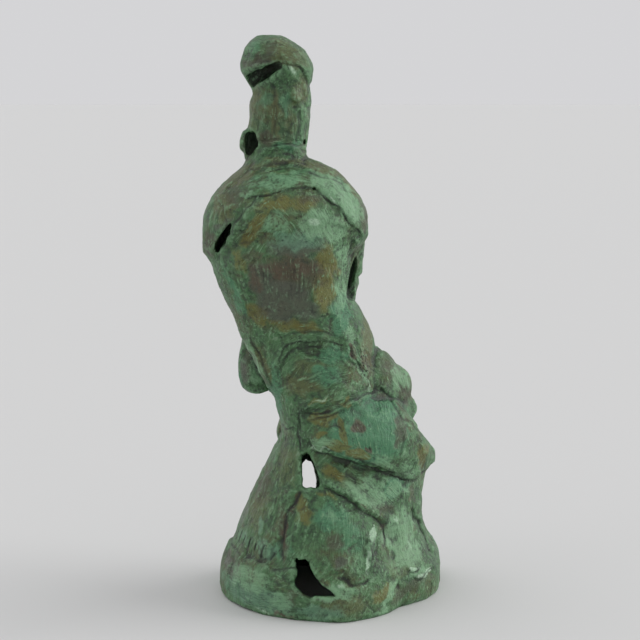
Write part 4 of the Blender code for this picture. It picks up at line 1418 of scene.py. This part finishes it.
@dataclass
class HandWork:
    """What a hand leaves all over wax: lumps, small pits, and the marks cut in with a tool."""

    lump_size: float = 11.0
    lump_height: float = 0.55
    grain_size: float = 3.6
    grain_height: float = 0.22
    pit_spacing: float = 2.6
    pit_density: float = 150000.0         # at most so many tries to a square metre
    pit_width: float = 1.1
    pit_depth: float = 0.7
    stroke_width: float = 1.2
    stroke_depth: float = 1.0
    seed: int = 11

    def tree(self) -> tuple[NodeTree, dict[str, str]]:
        """Builds the tree that works the skin over.

        Returns:
            The tree, and the identifier of each named input.
        """
        graph, names = geometry_tree("hand-worked skin", {
            "Lump Size": "Float", "Lump Height": "Float", "Grain Size": "Float",
            "Grain Height": "Float", "Pit Spacing": "Float", "Pit Width": "Float",
            "Pit Depth": "Float", "Stroke Width": "Float", "Stroke Depth": "Float",
            "Strokes": "Object", "Seed": "Int", "Finish": "Material",
        })
        given = graph.add("NodeGroupInput").outputs
        place = graph.add("GeometryNodeInputPosition").outputs[0]
        normal = graph.add("GeometryNodeInputNormal").outputs[0]
        height = graph.times(self.swing(graph, place, given["Lump Size"], 1.5), given["Lump Height"])
        small = graph.times(self.swing(graph, place, given["Grain Size"], 2.0), given["Grain Height"])
        height = graph.math("ADD", height, small)
        pitting = graph.add("GeometryNodeInputNamedAttribute", {"Name": "pitting"}, data_type="FLOAT")
        pits = graph.add("GeometryNodeDistributePointsOnFaces", {
            "Mesh": given["Geometry"], "Distance Min": given["Pit Spacing"],
            "Density Max": self.pit_density, "Density Factor": pitting.outputs[0],
            "Seed": given["Seed"],
        }, distribute_method="POISSON")
        holes = self.pressed(graph, pits.outputs[0], "POINTS", given["Pit Width"], given["Pit Depth"])
        marks = graph.add("GeometryNodeObjectInfo", {"Object": given["Strokes"]}).outputs["Geometry"]
        cuts = self.pressed(graph, marks, "EDGES", given["Stroke Width"], given["Stroke Depth"])
        height = graph.math("SUBTRACT", graph.math("SUBTRACT", height, holes), cuts)
        outside = graph.add("GeometryNodeInputNamedAttribute", {"Name": "outside"}, data_type="FLOAT")
        height = graph.times(height, outside.outputs[0])
        moved = graph.add("GeometryNodeSetPosition", {
            "Geometry": given["Geometry"], "Offset": graph.scaled(normal, height),
        })
        real = graph.add("GeometryNodeRealizeInstances", {0: moved.outputs[0]})
        done = graph.add("GeometryNodeSetMaterial", {0: real.outputs[0], "Material": given["Finish"]})
        graph.add("NodeGroupOutput", {0: done.outputs[0]})
        return graph.tree, names

    @staticmethod
    def swing(graph: Graph, place: Socket, size: Socket, detail: float) -> Socket:
        """Noise of a size, between about -1 and 1."""
        value = graph.noise(place, graph.math("DIVIDE", 1.0, size), detail, 0.5, 0.3)
        return graph.times(graph.math("SUBTRACT", value, 0.5), 2.0)

    @staticmethod
    def pressed(graph: Graph, target: Socket, element: str, width: Socket, depth: Socket) -> Socket:
        """Works out how deep the skin is pressed in near points or edges.

        Args:
            graph: The tree's nodes.
            target: What holds the points or edges.
            element: Which of them counts.
            width: How far the press reaches.
            depth: How deep it goes.

        Returns:
            The depth.
        """
        near = graph.add("GeometryNodeProximity", {0: target}, target_element=element)
        share = graph.add("ShaderNodeMapRange", {
            "Value": graph.math("DIVIDE", near.outputs[1], width), "From Min": 1.0, "From Max": 0.0,
            "To Min": 0.0, "To Max": 1.0,
        }, interpolation_type="SMOOTHSTEP")
        return graph.times(share.outputs[0], depth)

    def work(self, casting: Object, strokes: Object,
             finish: Material) -> Object:
        """Works the casting's skin over.

        Args:
            casting: The piece, with the numbers "outside" and "pitting" on its points.
            strokes: The edges that are cut in.
            finish: The material of the skin.

        Returns:
            The same piece.
        """
        tree, names = self.tree()
        worked = casting.modifiers.new("worked", "NODES")
        worked.node_group = tree
        for name, value in (
            ("Lump Size", self.lump_size * UNIT), ("Lump Height", self.lump_height * UNIT),
            ("Grain Size", self.grain_size * UNIT), ("Grain Height", self.grain_height * UNIT),
            ("Pit Spacing", self.pit_spacing * UNIT), ("Pit Width", self.pit_width * UNIT),
            ("Pit Depth", self.pit_depth * UNIT), ("Stroke Width", self.stroke_width * UNIT),
            ("Stroke Depth", self.stroke_depth * UNIT), ("Strokes", strokes), ("Seed", self.seed),
            ("Finish", finish),
        ):
            worked[names[name]] = value
        return settled(casting)


@dataclass(frozen=True)
class PittedSpot:
    """A spot on the back where small pits lie thick, by its share of the thickest."""

    centre: tuple[float, float]
    reach: tuple[float, float]
    share: float
    turn: float = 0.0


@dataclass
class Casting:
    """The bronze itself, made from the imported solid. Sizes are in drawing units."""

    regions: tuple[Region, ...] = field(default_factory=lambda: (
        CapAndHead(), Cape(), Back(), Hips(), Thigh(), Skirt()))
    patina: PatinaWithPaintedLight = PatinaWithPaintedLight()
    inscription: Inscription = field(default_factory=Inscription)
    hand_work: HandWork = field(default_factory=HandWork)
    pitted: tuple[PittedSpot, ...] = (
        PittedSpot((20, 250), (9, 28), 1.0), PittedSpot((30, 172), (8, 18), 1.0, 25),
        PittedSpot((-8, 262), (30, 8), 0.25), PittedSpot((10, 290), (12, 8), 0.4, -30),
        PittedSpot((22, 180), (6, 14), 0.6, 20), PittedSpot((66, 76), (5, 9), 0.5),
        PittedSpot((-30, 234), (18, 18), 0.15), PittedSpot((28, 128), (9, 9), 0.3),
    )
    stray_pits: float = 0.02
    grain: float = 0.95
    triangles: int = 194000
    skin_share: float = 0.35              # how readily the skin is thinned, beside the hollow
    sharp_angle: float = 40.0
    rag: float = 0.3
    rag_size: float = 4.0
    back_reach: float = 18.0              # how far past the axis a side's marks reach
    foot: float = 2.5                     # over what height from the rim the relief grows
    looks: int = 12                       # how many ways are tried out of each face
    shut_looks: int = 10                  # how many of them are blocked in the hollow
    dab_size: float = 15.0
    dab_press: float = 0.55
    dab_tilt: float = 0.04
    dab_blend: float = 3.0
    dab_limit: float = 0.9
    dab_seed: int = 3
    crown: float = 14.0                   # over what height from the top the dabs grow
    close_rounds: int = 5                 # how often the skin is smoothed to find its relief
    wide_rounds: int = 40
    cut_reach: float = 1.0
    # how wide the painted lines of shade in the grooves are
    line_width: float = 0.75
    press_size: float = 16.0
    line_stir: tuple = (0.6, 16.0, 1)     # how far, over what size, and which noise
    patch_stir: tuple = (1.2, 12.0, 3)
    comb_stir: tuple = (0.5, 14.0, 5)
    comb_reach: float = 6.0
    front_patch_size: float = 34.0
    front_seed: int = 20

    def build(self) -> Object:
        """Makes the finished casting.

        Returns:
            The piece, ready to ride on its body.
        """
        casting = self.cut(self.welded())
        casting = self.refined(casting)
        log.info("fine skin: %d points", len(casting.data.vertices))
        self.mark_outside(casting)
        self.model(casting)
        finish = self.patina.material()
        strokes = self.inscription.build(casting, finish)
        casting = self.hand_work.work(casting, strokes, finish)
        cuts = self.read(strokes.data, "co")
        bpy.data.objects.remove(strokes)
        casting = self.thinned(casting)
        self.keep_in_box(casting)
        self.paint(casting, cuts)
        casting.data.materials.clear()
        casting.data.materials.append(finish)
        casting.data.shade_smooth()
        log.info("casting: %d triangles", sum(len(f.vertices) - 2 for f in casting.data.polygons))
        return casting

    @staticmethod
    def welded() -> Object:
        """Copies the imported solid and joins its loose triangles.

        Returns:
            The copy.
        """
        bm = bmesh.new()
        bm.from_mesh(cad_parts[NODE].data)
        bmesh.ops.remove_doubles(bm, verts=bm.verts, dist=1e-6)
        return object_of("bronze_casting", bm)

    def cut(self, casting: Object) -> Object:
        """Puts the lumps on and cuts the openings to their ragged outlines.

        Args:
            casting: The piece.

        Returns:
            The same piece.
        """
        tools = []
        for region in self.regions:
            tools += [(self.egg(lump), "UNION") for lump in region.lumps]
            tools += [(self.ragged(hole), "DIFFERENCE") for hole in region.holes]
            tools += [(self.egg(pocket), "DIFFERENCE") for pocket in region.pockets]
        for tool, operation in tools:
            step = casting.modifiers.new(tool.name, "BOOLEAN")
            step.operation = operation
            step.solver = "EXACT"
            step.object = tool
        settled(casting)
        for tool, _ in tools:
            bpy.data.objects.remove(tool)
        return casting

    def ragged(self, hole: Hole) -> Object:
        """Makes a cutter over a hole's outline, with small jags.

        Args:
            hole: The hole.

        Returns:
            The cutter.
        """
        line = smooth_line(hole.outline + hole.outline[:1], 4)[:-1]
        outward = line - line.mean(0)
        outward /= np.linalg.norm(outward, axis=1)[:, None]
        line = line + outward * (self.rag * waves(line, self.rag_size, len(hole.name)))[:, None]
        bm = bmesh.new()
        rows = []
        for depth in (hole.near, hole.far):
            ring = (np.insert(line, 1, depth, axis=1) + DRAWING_AXIS) * UNIT
            rows.append([bm.verts.new(point) for point in ring])
        for k in range(len(line)):
            n = (k + 1) % len(line)
            bm.faces.new((rows[0][k], rows[0][n], rows[1][n], rows[1][k]))
        bm.faces.new(rows[0][::-1])
        bm.faces.new(rows[1])
        bmesh.ops.recalc_face_normals(bm, faces=bm.faces)
        return object_of(hole.name, bm)

    @staticmethod
    def egg(egg: Egg) -> Object:
        """Makes the shape of an egg.

        Args:
            egg: Its place and sizes.

        Returns:
            The cutter or lump.
        """
        bm = bmesh.new()
        bmesh.ops.create_uvsphere(bm, u_segments=16, v_segments=10, radius=1)
        centre = Vector((np.array(egg.centre) + DRAWING_AXIS) * UNIT)
        turn = Matrix.Rotation(math.radians(egg.turn), 4, "Y")
        size = Matrix.Diagonal((*(np.array(egg.radii) * UNIT), 1))
        bm.transform(Matrix.Translation(centre) @ turn @ size)
        return object_of(egg.name, bm)

    def refined(self, casting: Object) -> Object:
        """Rounds off the facets and makes the mesh fine and even.

        Args:
            casting: The piece.

        Returns:
            The same piece.
        """
        bm = bmesh.new()
        bm.from_mesh(casting.data)
        crease = bm.edges.layers.float.new("crease_edge")
        sharp = math.radians(self.sharp_angle)
        for edge in bm.edges:
            if edge.is_manifold and edge.calc_face_angle() > sharp:
                edge[crease] = 1.0
        bm.to_mesh(casting.data)
        bm.free()
        rounded = casting.modifiers.new("rounded", "SUBSURF")
        rounded.levels = rounded.render_levels = 2
        remesh = casting.modifiers.new("even", "REMESH")
        remesh.mode = "VOXEL"
        remesh.voxel_size = self.grain * UNIT
        soft = casting.modifiers.new("soft", "SMOOTH")
        soft.factor = 0.5
        soft.iterations = 3
        return settled(casting)

    def mark_outside(self, casting: Object) -> None:
        """Puts the number "outside" on each point: 1 on the outer skin and 0 in the hollow.

        Args:
            casting: The piece.
        """
        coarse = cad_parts[NODE].data
        solid = BVHTree.FromPolygons([v.co for v in coarse.vertices],
                                     [p.vertices for p in coarse.polygons])
        ways = [Vector((math.cos(a), math.sin(a), 0.15)).normalized()
                for a in np.linspace(0, 2 * math.pi, self.looks, endpoint=False)]
        step = 0.5 * UNIT
        shut = np.zeros(len(coarse.polygons))
        for k, polygon in enumerate(coarse.polygons):
            start = polygon.center + polygon.normal * step
            blocked = sum(solid.ray_cast(start, way)[0] is not None for way in ways)
            shut[k] = blocked >= self.shut_looks
        mesh = casting.data
        points = self.read(mesh, "co")
        outside = 1 - shut[[solid.find_nearest(point)[2] for point in points]]
        outside = self.spread(mesh, outside, 4) * step_up(points[:, 2] / UNIT / self.foot)
        self.put(mesh, "outside", outside)

    def model(self, casting: Object) -> None:
        """Raises and sinks the skin along the seams and swells of all regions.

        Args:
            casting: The piece, with the number "outside" on its points.
        """
        mesh = casting.data
        points = self.read(mesh, "co") / UNIT - DRAWING_AXIS
        normals = self.read(mesh, "normal")
        outside = self.get(mesh, "outside")
        spots = stirred(points, *self.line_stir)
        sides = {side: self.facing(side, points, normals) for side in Side}
        height = self.dabs(points, normals)
        for region in self.regions:
            marks = [mark for comb in region.combs for mark in comb.seams()]
            for seam in (*region.seams, *marks):
                height += self.seam_height(seam, spots, points, normals)
            for swell in region.swells:
                out = within(spots, swell.centre, swell.reach, swell.turn)
                height += sides[swell.side] * swell.height * step_up((1 - out) / swell.edge)
        moved = points + normals * (height * outside)[:, None]
        mesh.vertices.foreach_set("co", ((moved + DRAWING_AXIS) * UNIT).ravel())
        self.put(mesh, "pitting", self.pitting(points, normals))
        mesh.update()

    def dabs(self, points: np.ndarray, normals: np.ndarray) -> np.ndarray:
        """Presses the skin flat dab by dab, each a little tilted.

        Args:
            points: The points of the skin, in drawing units.
            normals: Their normals.

        Returns:
            The height of each point's move.
        """
        random = np.random.default_rng(self.dab_seed)
        mixed = random.permutation(len(points))
        cells = np.floor(points[mixed] / self.dab_size).astype(int)
        centres = mixed[np.unique(cells, axis=0, return_index=True)[1]]
        tree = KDTree(len(centres))
        for k, centre in enumerate(centres):
            tree.insert(points[centre], k)
        tree.balance()
        near = np.empty((len(points), 2), int)
        far = np.empty((len(points), 2))
        for k, point in enumerate(points):
            for n, (_, dab, distance) in enumerate(tree.find_n(point, 2)):
                near[k, n], far[k, n] = dab, distance
        tilt = random.normal(0, self.dab_tilt, (len(centres), 3))
        heights = []
        for n in range(2):
            off = points - points[centres[near[:, n]]]
            flat = -self.dab_press * (off * normals[centres[near[:, n]]]).sum(1)
            leaning = flat + (off * tilt[near[:, n]]).sum(1)
            heights.append(np.clip(leaning, -self.dab_limit, self.dab_limit))
        own = 0.5 + 0.5 * step_up((far[:, 1] - far[:, 0]) / self.dab_blend)
        under_crown = step_up((DRAWN_HEIGHT - points[:, 2]) / self.crown)
        return (own * heights[0] + (1 - own) * heights[1]) * under_crown

    def facing(self, side: Side, points: np.ndarray, normals: np.ndarray) -> np.ndarray:
        """How fully each point belongs to one side of the figure, from 0 to 1."""
        share = step_up((side.value * normals[:, 1] + 0.2) / 0.3)
        return share * step_up((side.value * points[:, 1] + self.back_reach) / 6)

    def seam_height(self, seam: Seam, spots: np.ndarray, points: np.ndarray,
                    normals: np.ndarray) -> np.ndarray:
        """Works out how far a seam raises each point.

        Args:
            seam: The seam.
            spots: Where the points lie in the drawing.
            points: The points of the skin, in drawing units.
            normals: Their normals.

        Returns:
            The height of each point's move.
        """
        line = seam.line()
        reach = max(3 * seam.fade if seam.lift else 0.0, 3 * seam.width)
        near = ((spots > line.min(0) - reach) & (spots < line.max(0) + reach)).all(1)
        height = np.zeros(len(spots))
        signed, inside = beside(line, spots[near])
        lap = step_up(signed / seam.width + 0.5) * np.exp(-np.maximum(signed, 0) / seam.fade)
        crease = np.exp(-(signed / seam.width) ** 2)
        share = self.facing(seam.side, points[near], normals[near]) * step_up(inside / 3 + 0.1)
        height[near] = share * (seam.lift * lap - seam.sink * self.pressed(seam, points[near]) * crease)
        return height

    def pressed(self, seam: Seam, points: np.ndarray) -> np.ndarray:
        """How hard the tool was pressed in along a seam."""
        return np.clip(0.75 + 0.35 * waves(points, self.press_size, len(seam.name)), 0.2, 1.2)

    def pitting(self, points: np.ndarray, normals: np.ndarray) -> np.ndarray:
        """Works out how thick the small pits lie.

        Args:
            points: The points of the skin, in drawing units.
            normals: Their normals.

        Returns:
            The thickness at each point, from 0 to 1.
        """
        back = self.facing(Side.BACK, points, normals)
        thick = np.full(len(points), self.stray_pits)
        for spot in self.pitted:
            out = within(points[:, ::2], spot.centre, spot.reach, spot.turn)
            thick = np.maximum(thick, back * spot.share * step_up(1.6 - 1.6 * out))
        return thick

    def thinned(self, casting: Object) -> Object:
        """Takes triangles out, most of them from the hollow.

        Args:
            casting: The piece, with the number "outside" on its points.

        Returns:
            The same piece.
        """
        hollow = self.get(casting.data, "outside") < 0.5
        group = casting.vertex_groups.new(name="inner")
        group.add(np.flatnonzero(hollow).tolist(), 1.0, "REPLACE")
        group.add(np.flatnonzero(~hollow).tolist(), self.skin_share, "REPLACE")
        thin = casting.modifiers.new("thin", "DECIMATE")
        thin.use_collapse_triangulate = True
        thin.vertex_group = group.name
        thin.ratio = self.triangles / (2 * len(casting.data.polygons))
        settled(casting)
        casting.vertex_groups.clear()
        return casting

    def keep_in_box(self, casting: Object) -> None:
        """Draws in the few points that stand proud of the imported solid's box."""
        mesh = casting.data
        points = np.clip(self.read(mesh, "co"), CAD_BOX[0], CAD_BOX[1])
        mesh.vertices.foreach_set("co", points.ravel())
        mesh.update()

    def paint(self, casting: Object, cuts: np.ndarray) -> None:
        """Puts the numbers on the points that the patina reads.

        Args:
            casting: The piece.
            cuts: Points along the strokes that were cut in.
        """
        mesh = casting.data
        points = self.read(mesh, "co") / UNIT - DRAWING_AXIS
        normals = self.read(mesh, "normal")
        self.lay_tints(mesh, points, normals)
        low = self.relief(mesh, self.close_rounds)
        lower = self.relief(mesh, self.wide_rounds)
        # hollow: how deep each point lies below the smoothed skin, for the shade painted there
        self.put(mesh, "hollow", step_up(low / 0.3) * 0.5 + step_up((lower - 0.25) / 0.9) * 0.5)
        # edge: how proud each point stands on a convex edge, for the wear and highlight painted there
        self.put(mesh, "edge", step_up((-low - 0.06) / 0.3))
        self.put(mesh, "pitting", self.pitting(points, normals))
        # crease: nearness to a groove's bottom, for the thin line of shade painted there
        self.put(mesh, "crease", self.creases(points, normals))
        tree = KDTree(len(cuts))
        for k, cut in enumerate(cuts):
            tree.insert(cut, k)
        tree.balance()
        away = np.array([tree.find(v.co)[2] for v in mesh.vertices]) / UNIT
        self.put(mesh, "cut", step_up(1.7 - away / self.cut_reach))
        self.lay_combs(mesh, points, normals)

    def lay_tints(self, mesh: Mesh, points: np.ndarray, normals: np.ndarray) -> None:
        """Puts on the points how strong each tint is there.

        Args:
            mesh: The piece's mesh.
            points: Its points, in drawing units.
            normals: Their normals.
        """
        spots = stirred(points, *self.patch_stir)
        sides = {side: self.facing(side, points, normals) for side in Side}
        for number, tint in enumerate(Tint):
            value = (1 - sides[Side.BACK]) * FRONT_SHARES.get(tint, 0.0)
            noise = waves(points, self.front_patch_size, self.front_seed + number)
            value *= step_up((noise - 0.4) / 1.4)
            for patch in (patch for region in self.regions for patch in region.patches):
                if patch.tint is tint:
                    out = within(spots, patch.centre, patch.reach, patch.turn)
                    value = np.maximum(value, sides[patch.side] * patch.strength * step_up(1.5 - out))
            self.put(mesh, tint.value, value)

    def creases(self, points: np.ndarray, normals: np.ndarray) -> np.ndarray:
        """Works out how near each point is to the bottom of a groove, where a thin line of shade is
        painted.

        Args:
            points: The points of the skin, in drawing units.
            normals: Their normals.

        Returns:
            The nearness of each point, from 0 to 1.
        """
        spots = stirred(points, *self.line_stir)
        value = np.zeros(len(points))
        for seam in (seam for region in self.regions for seam in region.seams if seam.sink > 0):
            line = seam.line()
            near = ((spots > line.min(0) - 3) & (spots < line.max(0) + 3)).all(1)
            signed, inside = beside(line, spots[near])
            share = self.facing(seam.side, points[near], normals[near]) * step_up(inside / 3 + 0.1)
            share *= self.pressed(seam, points[near]) * min(1.0, seam.sink / (0.7 * seam.width))
            value[near] = np.maximum(value[near], share * np.exp(-(signed / self.line_width) ** 2))
        return value

    def lay_combs(self, mesh: Mesh, points: np.ndarray, normals: np.ndarray) -> None:
        """Puts on the points how they lie in the comb that covers them best.

        Args:
            mesh: The piece's mesh.
            points: Its points, in drawing units.
            normals: Their normals.
        """
        spots = stirred(points, *self.comb_stir)
        reach = self.comb_reach
        best, second, across, along = np.zeros((4, len(points)))
        combs = [comb for region in self.regions for comb in region.combs]
        for number, comb in enumerate(combs):
            guides = np.array(comb.first + comb.last)
            near = ((spots > guides.min(0) - reach) & (spots < guides.max(0) + reach)).all(1)
            over, on, inside = comb.place_in(spots[near])
            covered = np.zeros(len(points))
            covered[near] = inside * self.facing(comb.side, points[near], normals[near])
            taken = covered > best
            second = np.where(taken, best, np.maximum(second, covered))
            best = np.maximum(best, covered)
            across[near] = np.where(taken[near], over + 100 * number, across[near])
            along[near] = np.where(taken[near], on, along[near])
        self.put(mesh, "across", across)
        self.put(mesh, "along", along)
        self.put(mesh, "combed", step_up((best - second) / 0.5))

    def relief(self, mesh: Mesh, rounds: int) -> np.ndarray:
        """How far each point lies under the smoothed skin, in drawing units."""
        points = self.read(mesh, "co") / UNIT
        normals = self.read(mesh, "normal")
        smooth = np.stack([self.spread(mesh, column, rounds) for column in points.T], axis=1)
        return ((smooth - points) * normals).sum(1)

    @staticmethod
    def spread(mesh: Mesh, values: np.ndarray, rounds: int) -> np.ndarray:
        """Averages values on the points with their neighbours.

        Args:
            mesh: The mesh.
            values: One value for each point.
            rounds: How many times.

        Returns:
            The new values.
        """
        edges = np.empty(2 * len(mesh.edges), np.int32)
        mesh.edges.foreach_get("vertices", edges)
        one, other = edges.reshape(-1, 2).T
        count = len(values)
        friends = np.bincount(one, minlength=count) + np.bincount(other, minlength=count)
        for _ in range(rounds):
            total = np.bincount(one, values[other], count) + np.bincount(other, values[one], count)
            values = 0.5 * values + 0.5 * total / np.maximum(friends, 1)
        return values

    @staticmethod
    def read(mesh: Mesh, name: str) -> np.ndarray:
        """A vector of each point of the mesh, as rows of three."""
        values = np.empty(3 * len(mesh.vertices), np.float32)
        mesh.vertices.foreach_get(name, values)
        return values.reshape(-1, 3).astype(float)

    @staticmethod
    def get(mesh: Mesh, name: str) -> np.ndarray:
        """A number painted on each point."""
        values = np.empty(len(mesh.vertices), np.float32)
        mesh.attributes[name].data.foreach_get("value", values)
        return values.astype(float)

    @staticmethod
    def put(mesh: Mesh, name: str, values: np.ndarray) -> None:
        """Paints a number on each point."""
        attribute = mesh.attributes.get(name) or mesh.attributes.new(name, "FLOAT", "POINT")
        attribute.data.foreach_set("value", np.asarray(values, np.float32))


@dataclass(frozen=True)
class Lamp:
    """A far, broad lamp, by the way to it, its power and how many degrees it spans."""

    name: str
    towards: tuple[float, float, float]
    power: float
    spread: float


@dataclass
class Studio:
    """The pale floor, the soft light and the camera, which aren't part of the figure."""

    floor_size: float = 40.0
    floor_colour: tuple = colour(208, 208, 207)
    sky_colour: tuple = (1.0, 1.0, 1.02, 1.0)
    sky: float = 0.66
    camera_place: tuple = (-0.0026, -1.2994, 0.375)
    camera_aim: tuple = (-0.0026, 0.0006, 0.19936)
    lens: float = 103.42
    lamps: tuple[Lamp, ...] = (
        Lamp("window at the right", (0.93, 0.12, 0.42), 1.9, 60),
        Lamp("glow from the left", (-0.85, 0.2, 0.5), 0.65, 90),
    )

    def set_up(self) -> None:
        """Makes the camera, the floor, the lamps and the sky."""
        self.camera()
        self.floor()
        for lamp in self.lamps:
            sun = bpy.data.lights.new(lamp.name, "SUN")
            sun.energy = lamp.power
            sun.angle = math.radians(lamp.spread)
            obj = placed(lamp.name, sun)
            obj.rotation_euler = self.aimed(lamp.towards, (0, 0, 0))
        world = bpy.data.worlds.new("soft sky")
        world.use_nodes = True
        sky = world.node_tree.nodes["Background"]
        sky.inputs["Color"].default_value = self.sky_colour
        sky.inputs["Strength"].default_value = self.sky
        bpy.context.scene.world = world
        bpy.context.scene.view_settings.view_transform = "Standard"

    @staticmethod
    def aimed(place: tuple, at: tuple) -> Euler:
        """The turn that looks from one place at another."""
        return (Vector(at) - Vector(place)).to_track_quat("-Z", "Y").to_euler()

    def camera(self) -> None:
        """Makes the camera at the photograph's angle."""
        camera = bpy.data.cameras.new("camera")
        camera.lens = self.lens
        camera.sensor_width = 36.0
        obj = placed("camera", camera)
        obj.location = self.camera_place
        obj.rotation_euler = self.aimed(self.camera_place, self.camera_aim)
        bpy.context.scene.camera = obj

    def floor(self) -> None:
        """Makes the plain pale floor."""
        bm = bmesh.new()
        bmesh.ops.create_grid(bm, x_segments=1, y_segments=1, size=self.floor_size / 2)
        obj = object_of("floor", bm)
        paint = bpy.data.materials.new("pale floor")
        paint.use_nodes = True
        surface = paint.node_tree.nodes["Principled BSDF"]
        surface.inputs["Base Color"].default_value = self.floor_colour
        surface.inputs["Roughness"].default_value = 0.7
        obj.data.materials.append(paint)


def main() -> None:
    """Builds the studio and the casting."""
    logging.basicConfig(level=logging.INFO, format="%(message)s")
    Studio().set_up()
    log.info("studio ready")
    casting = Casting().build()
    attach(casting, BODY)
    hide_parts(NODE)


if __name__ == "__main__":
    main()
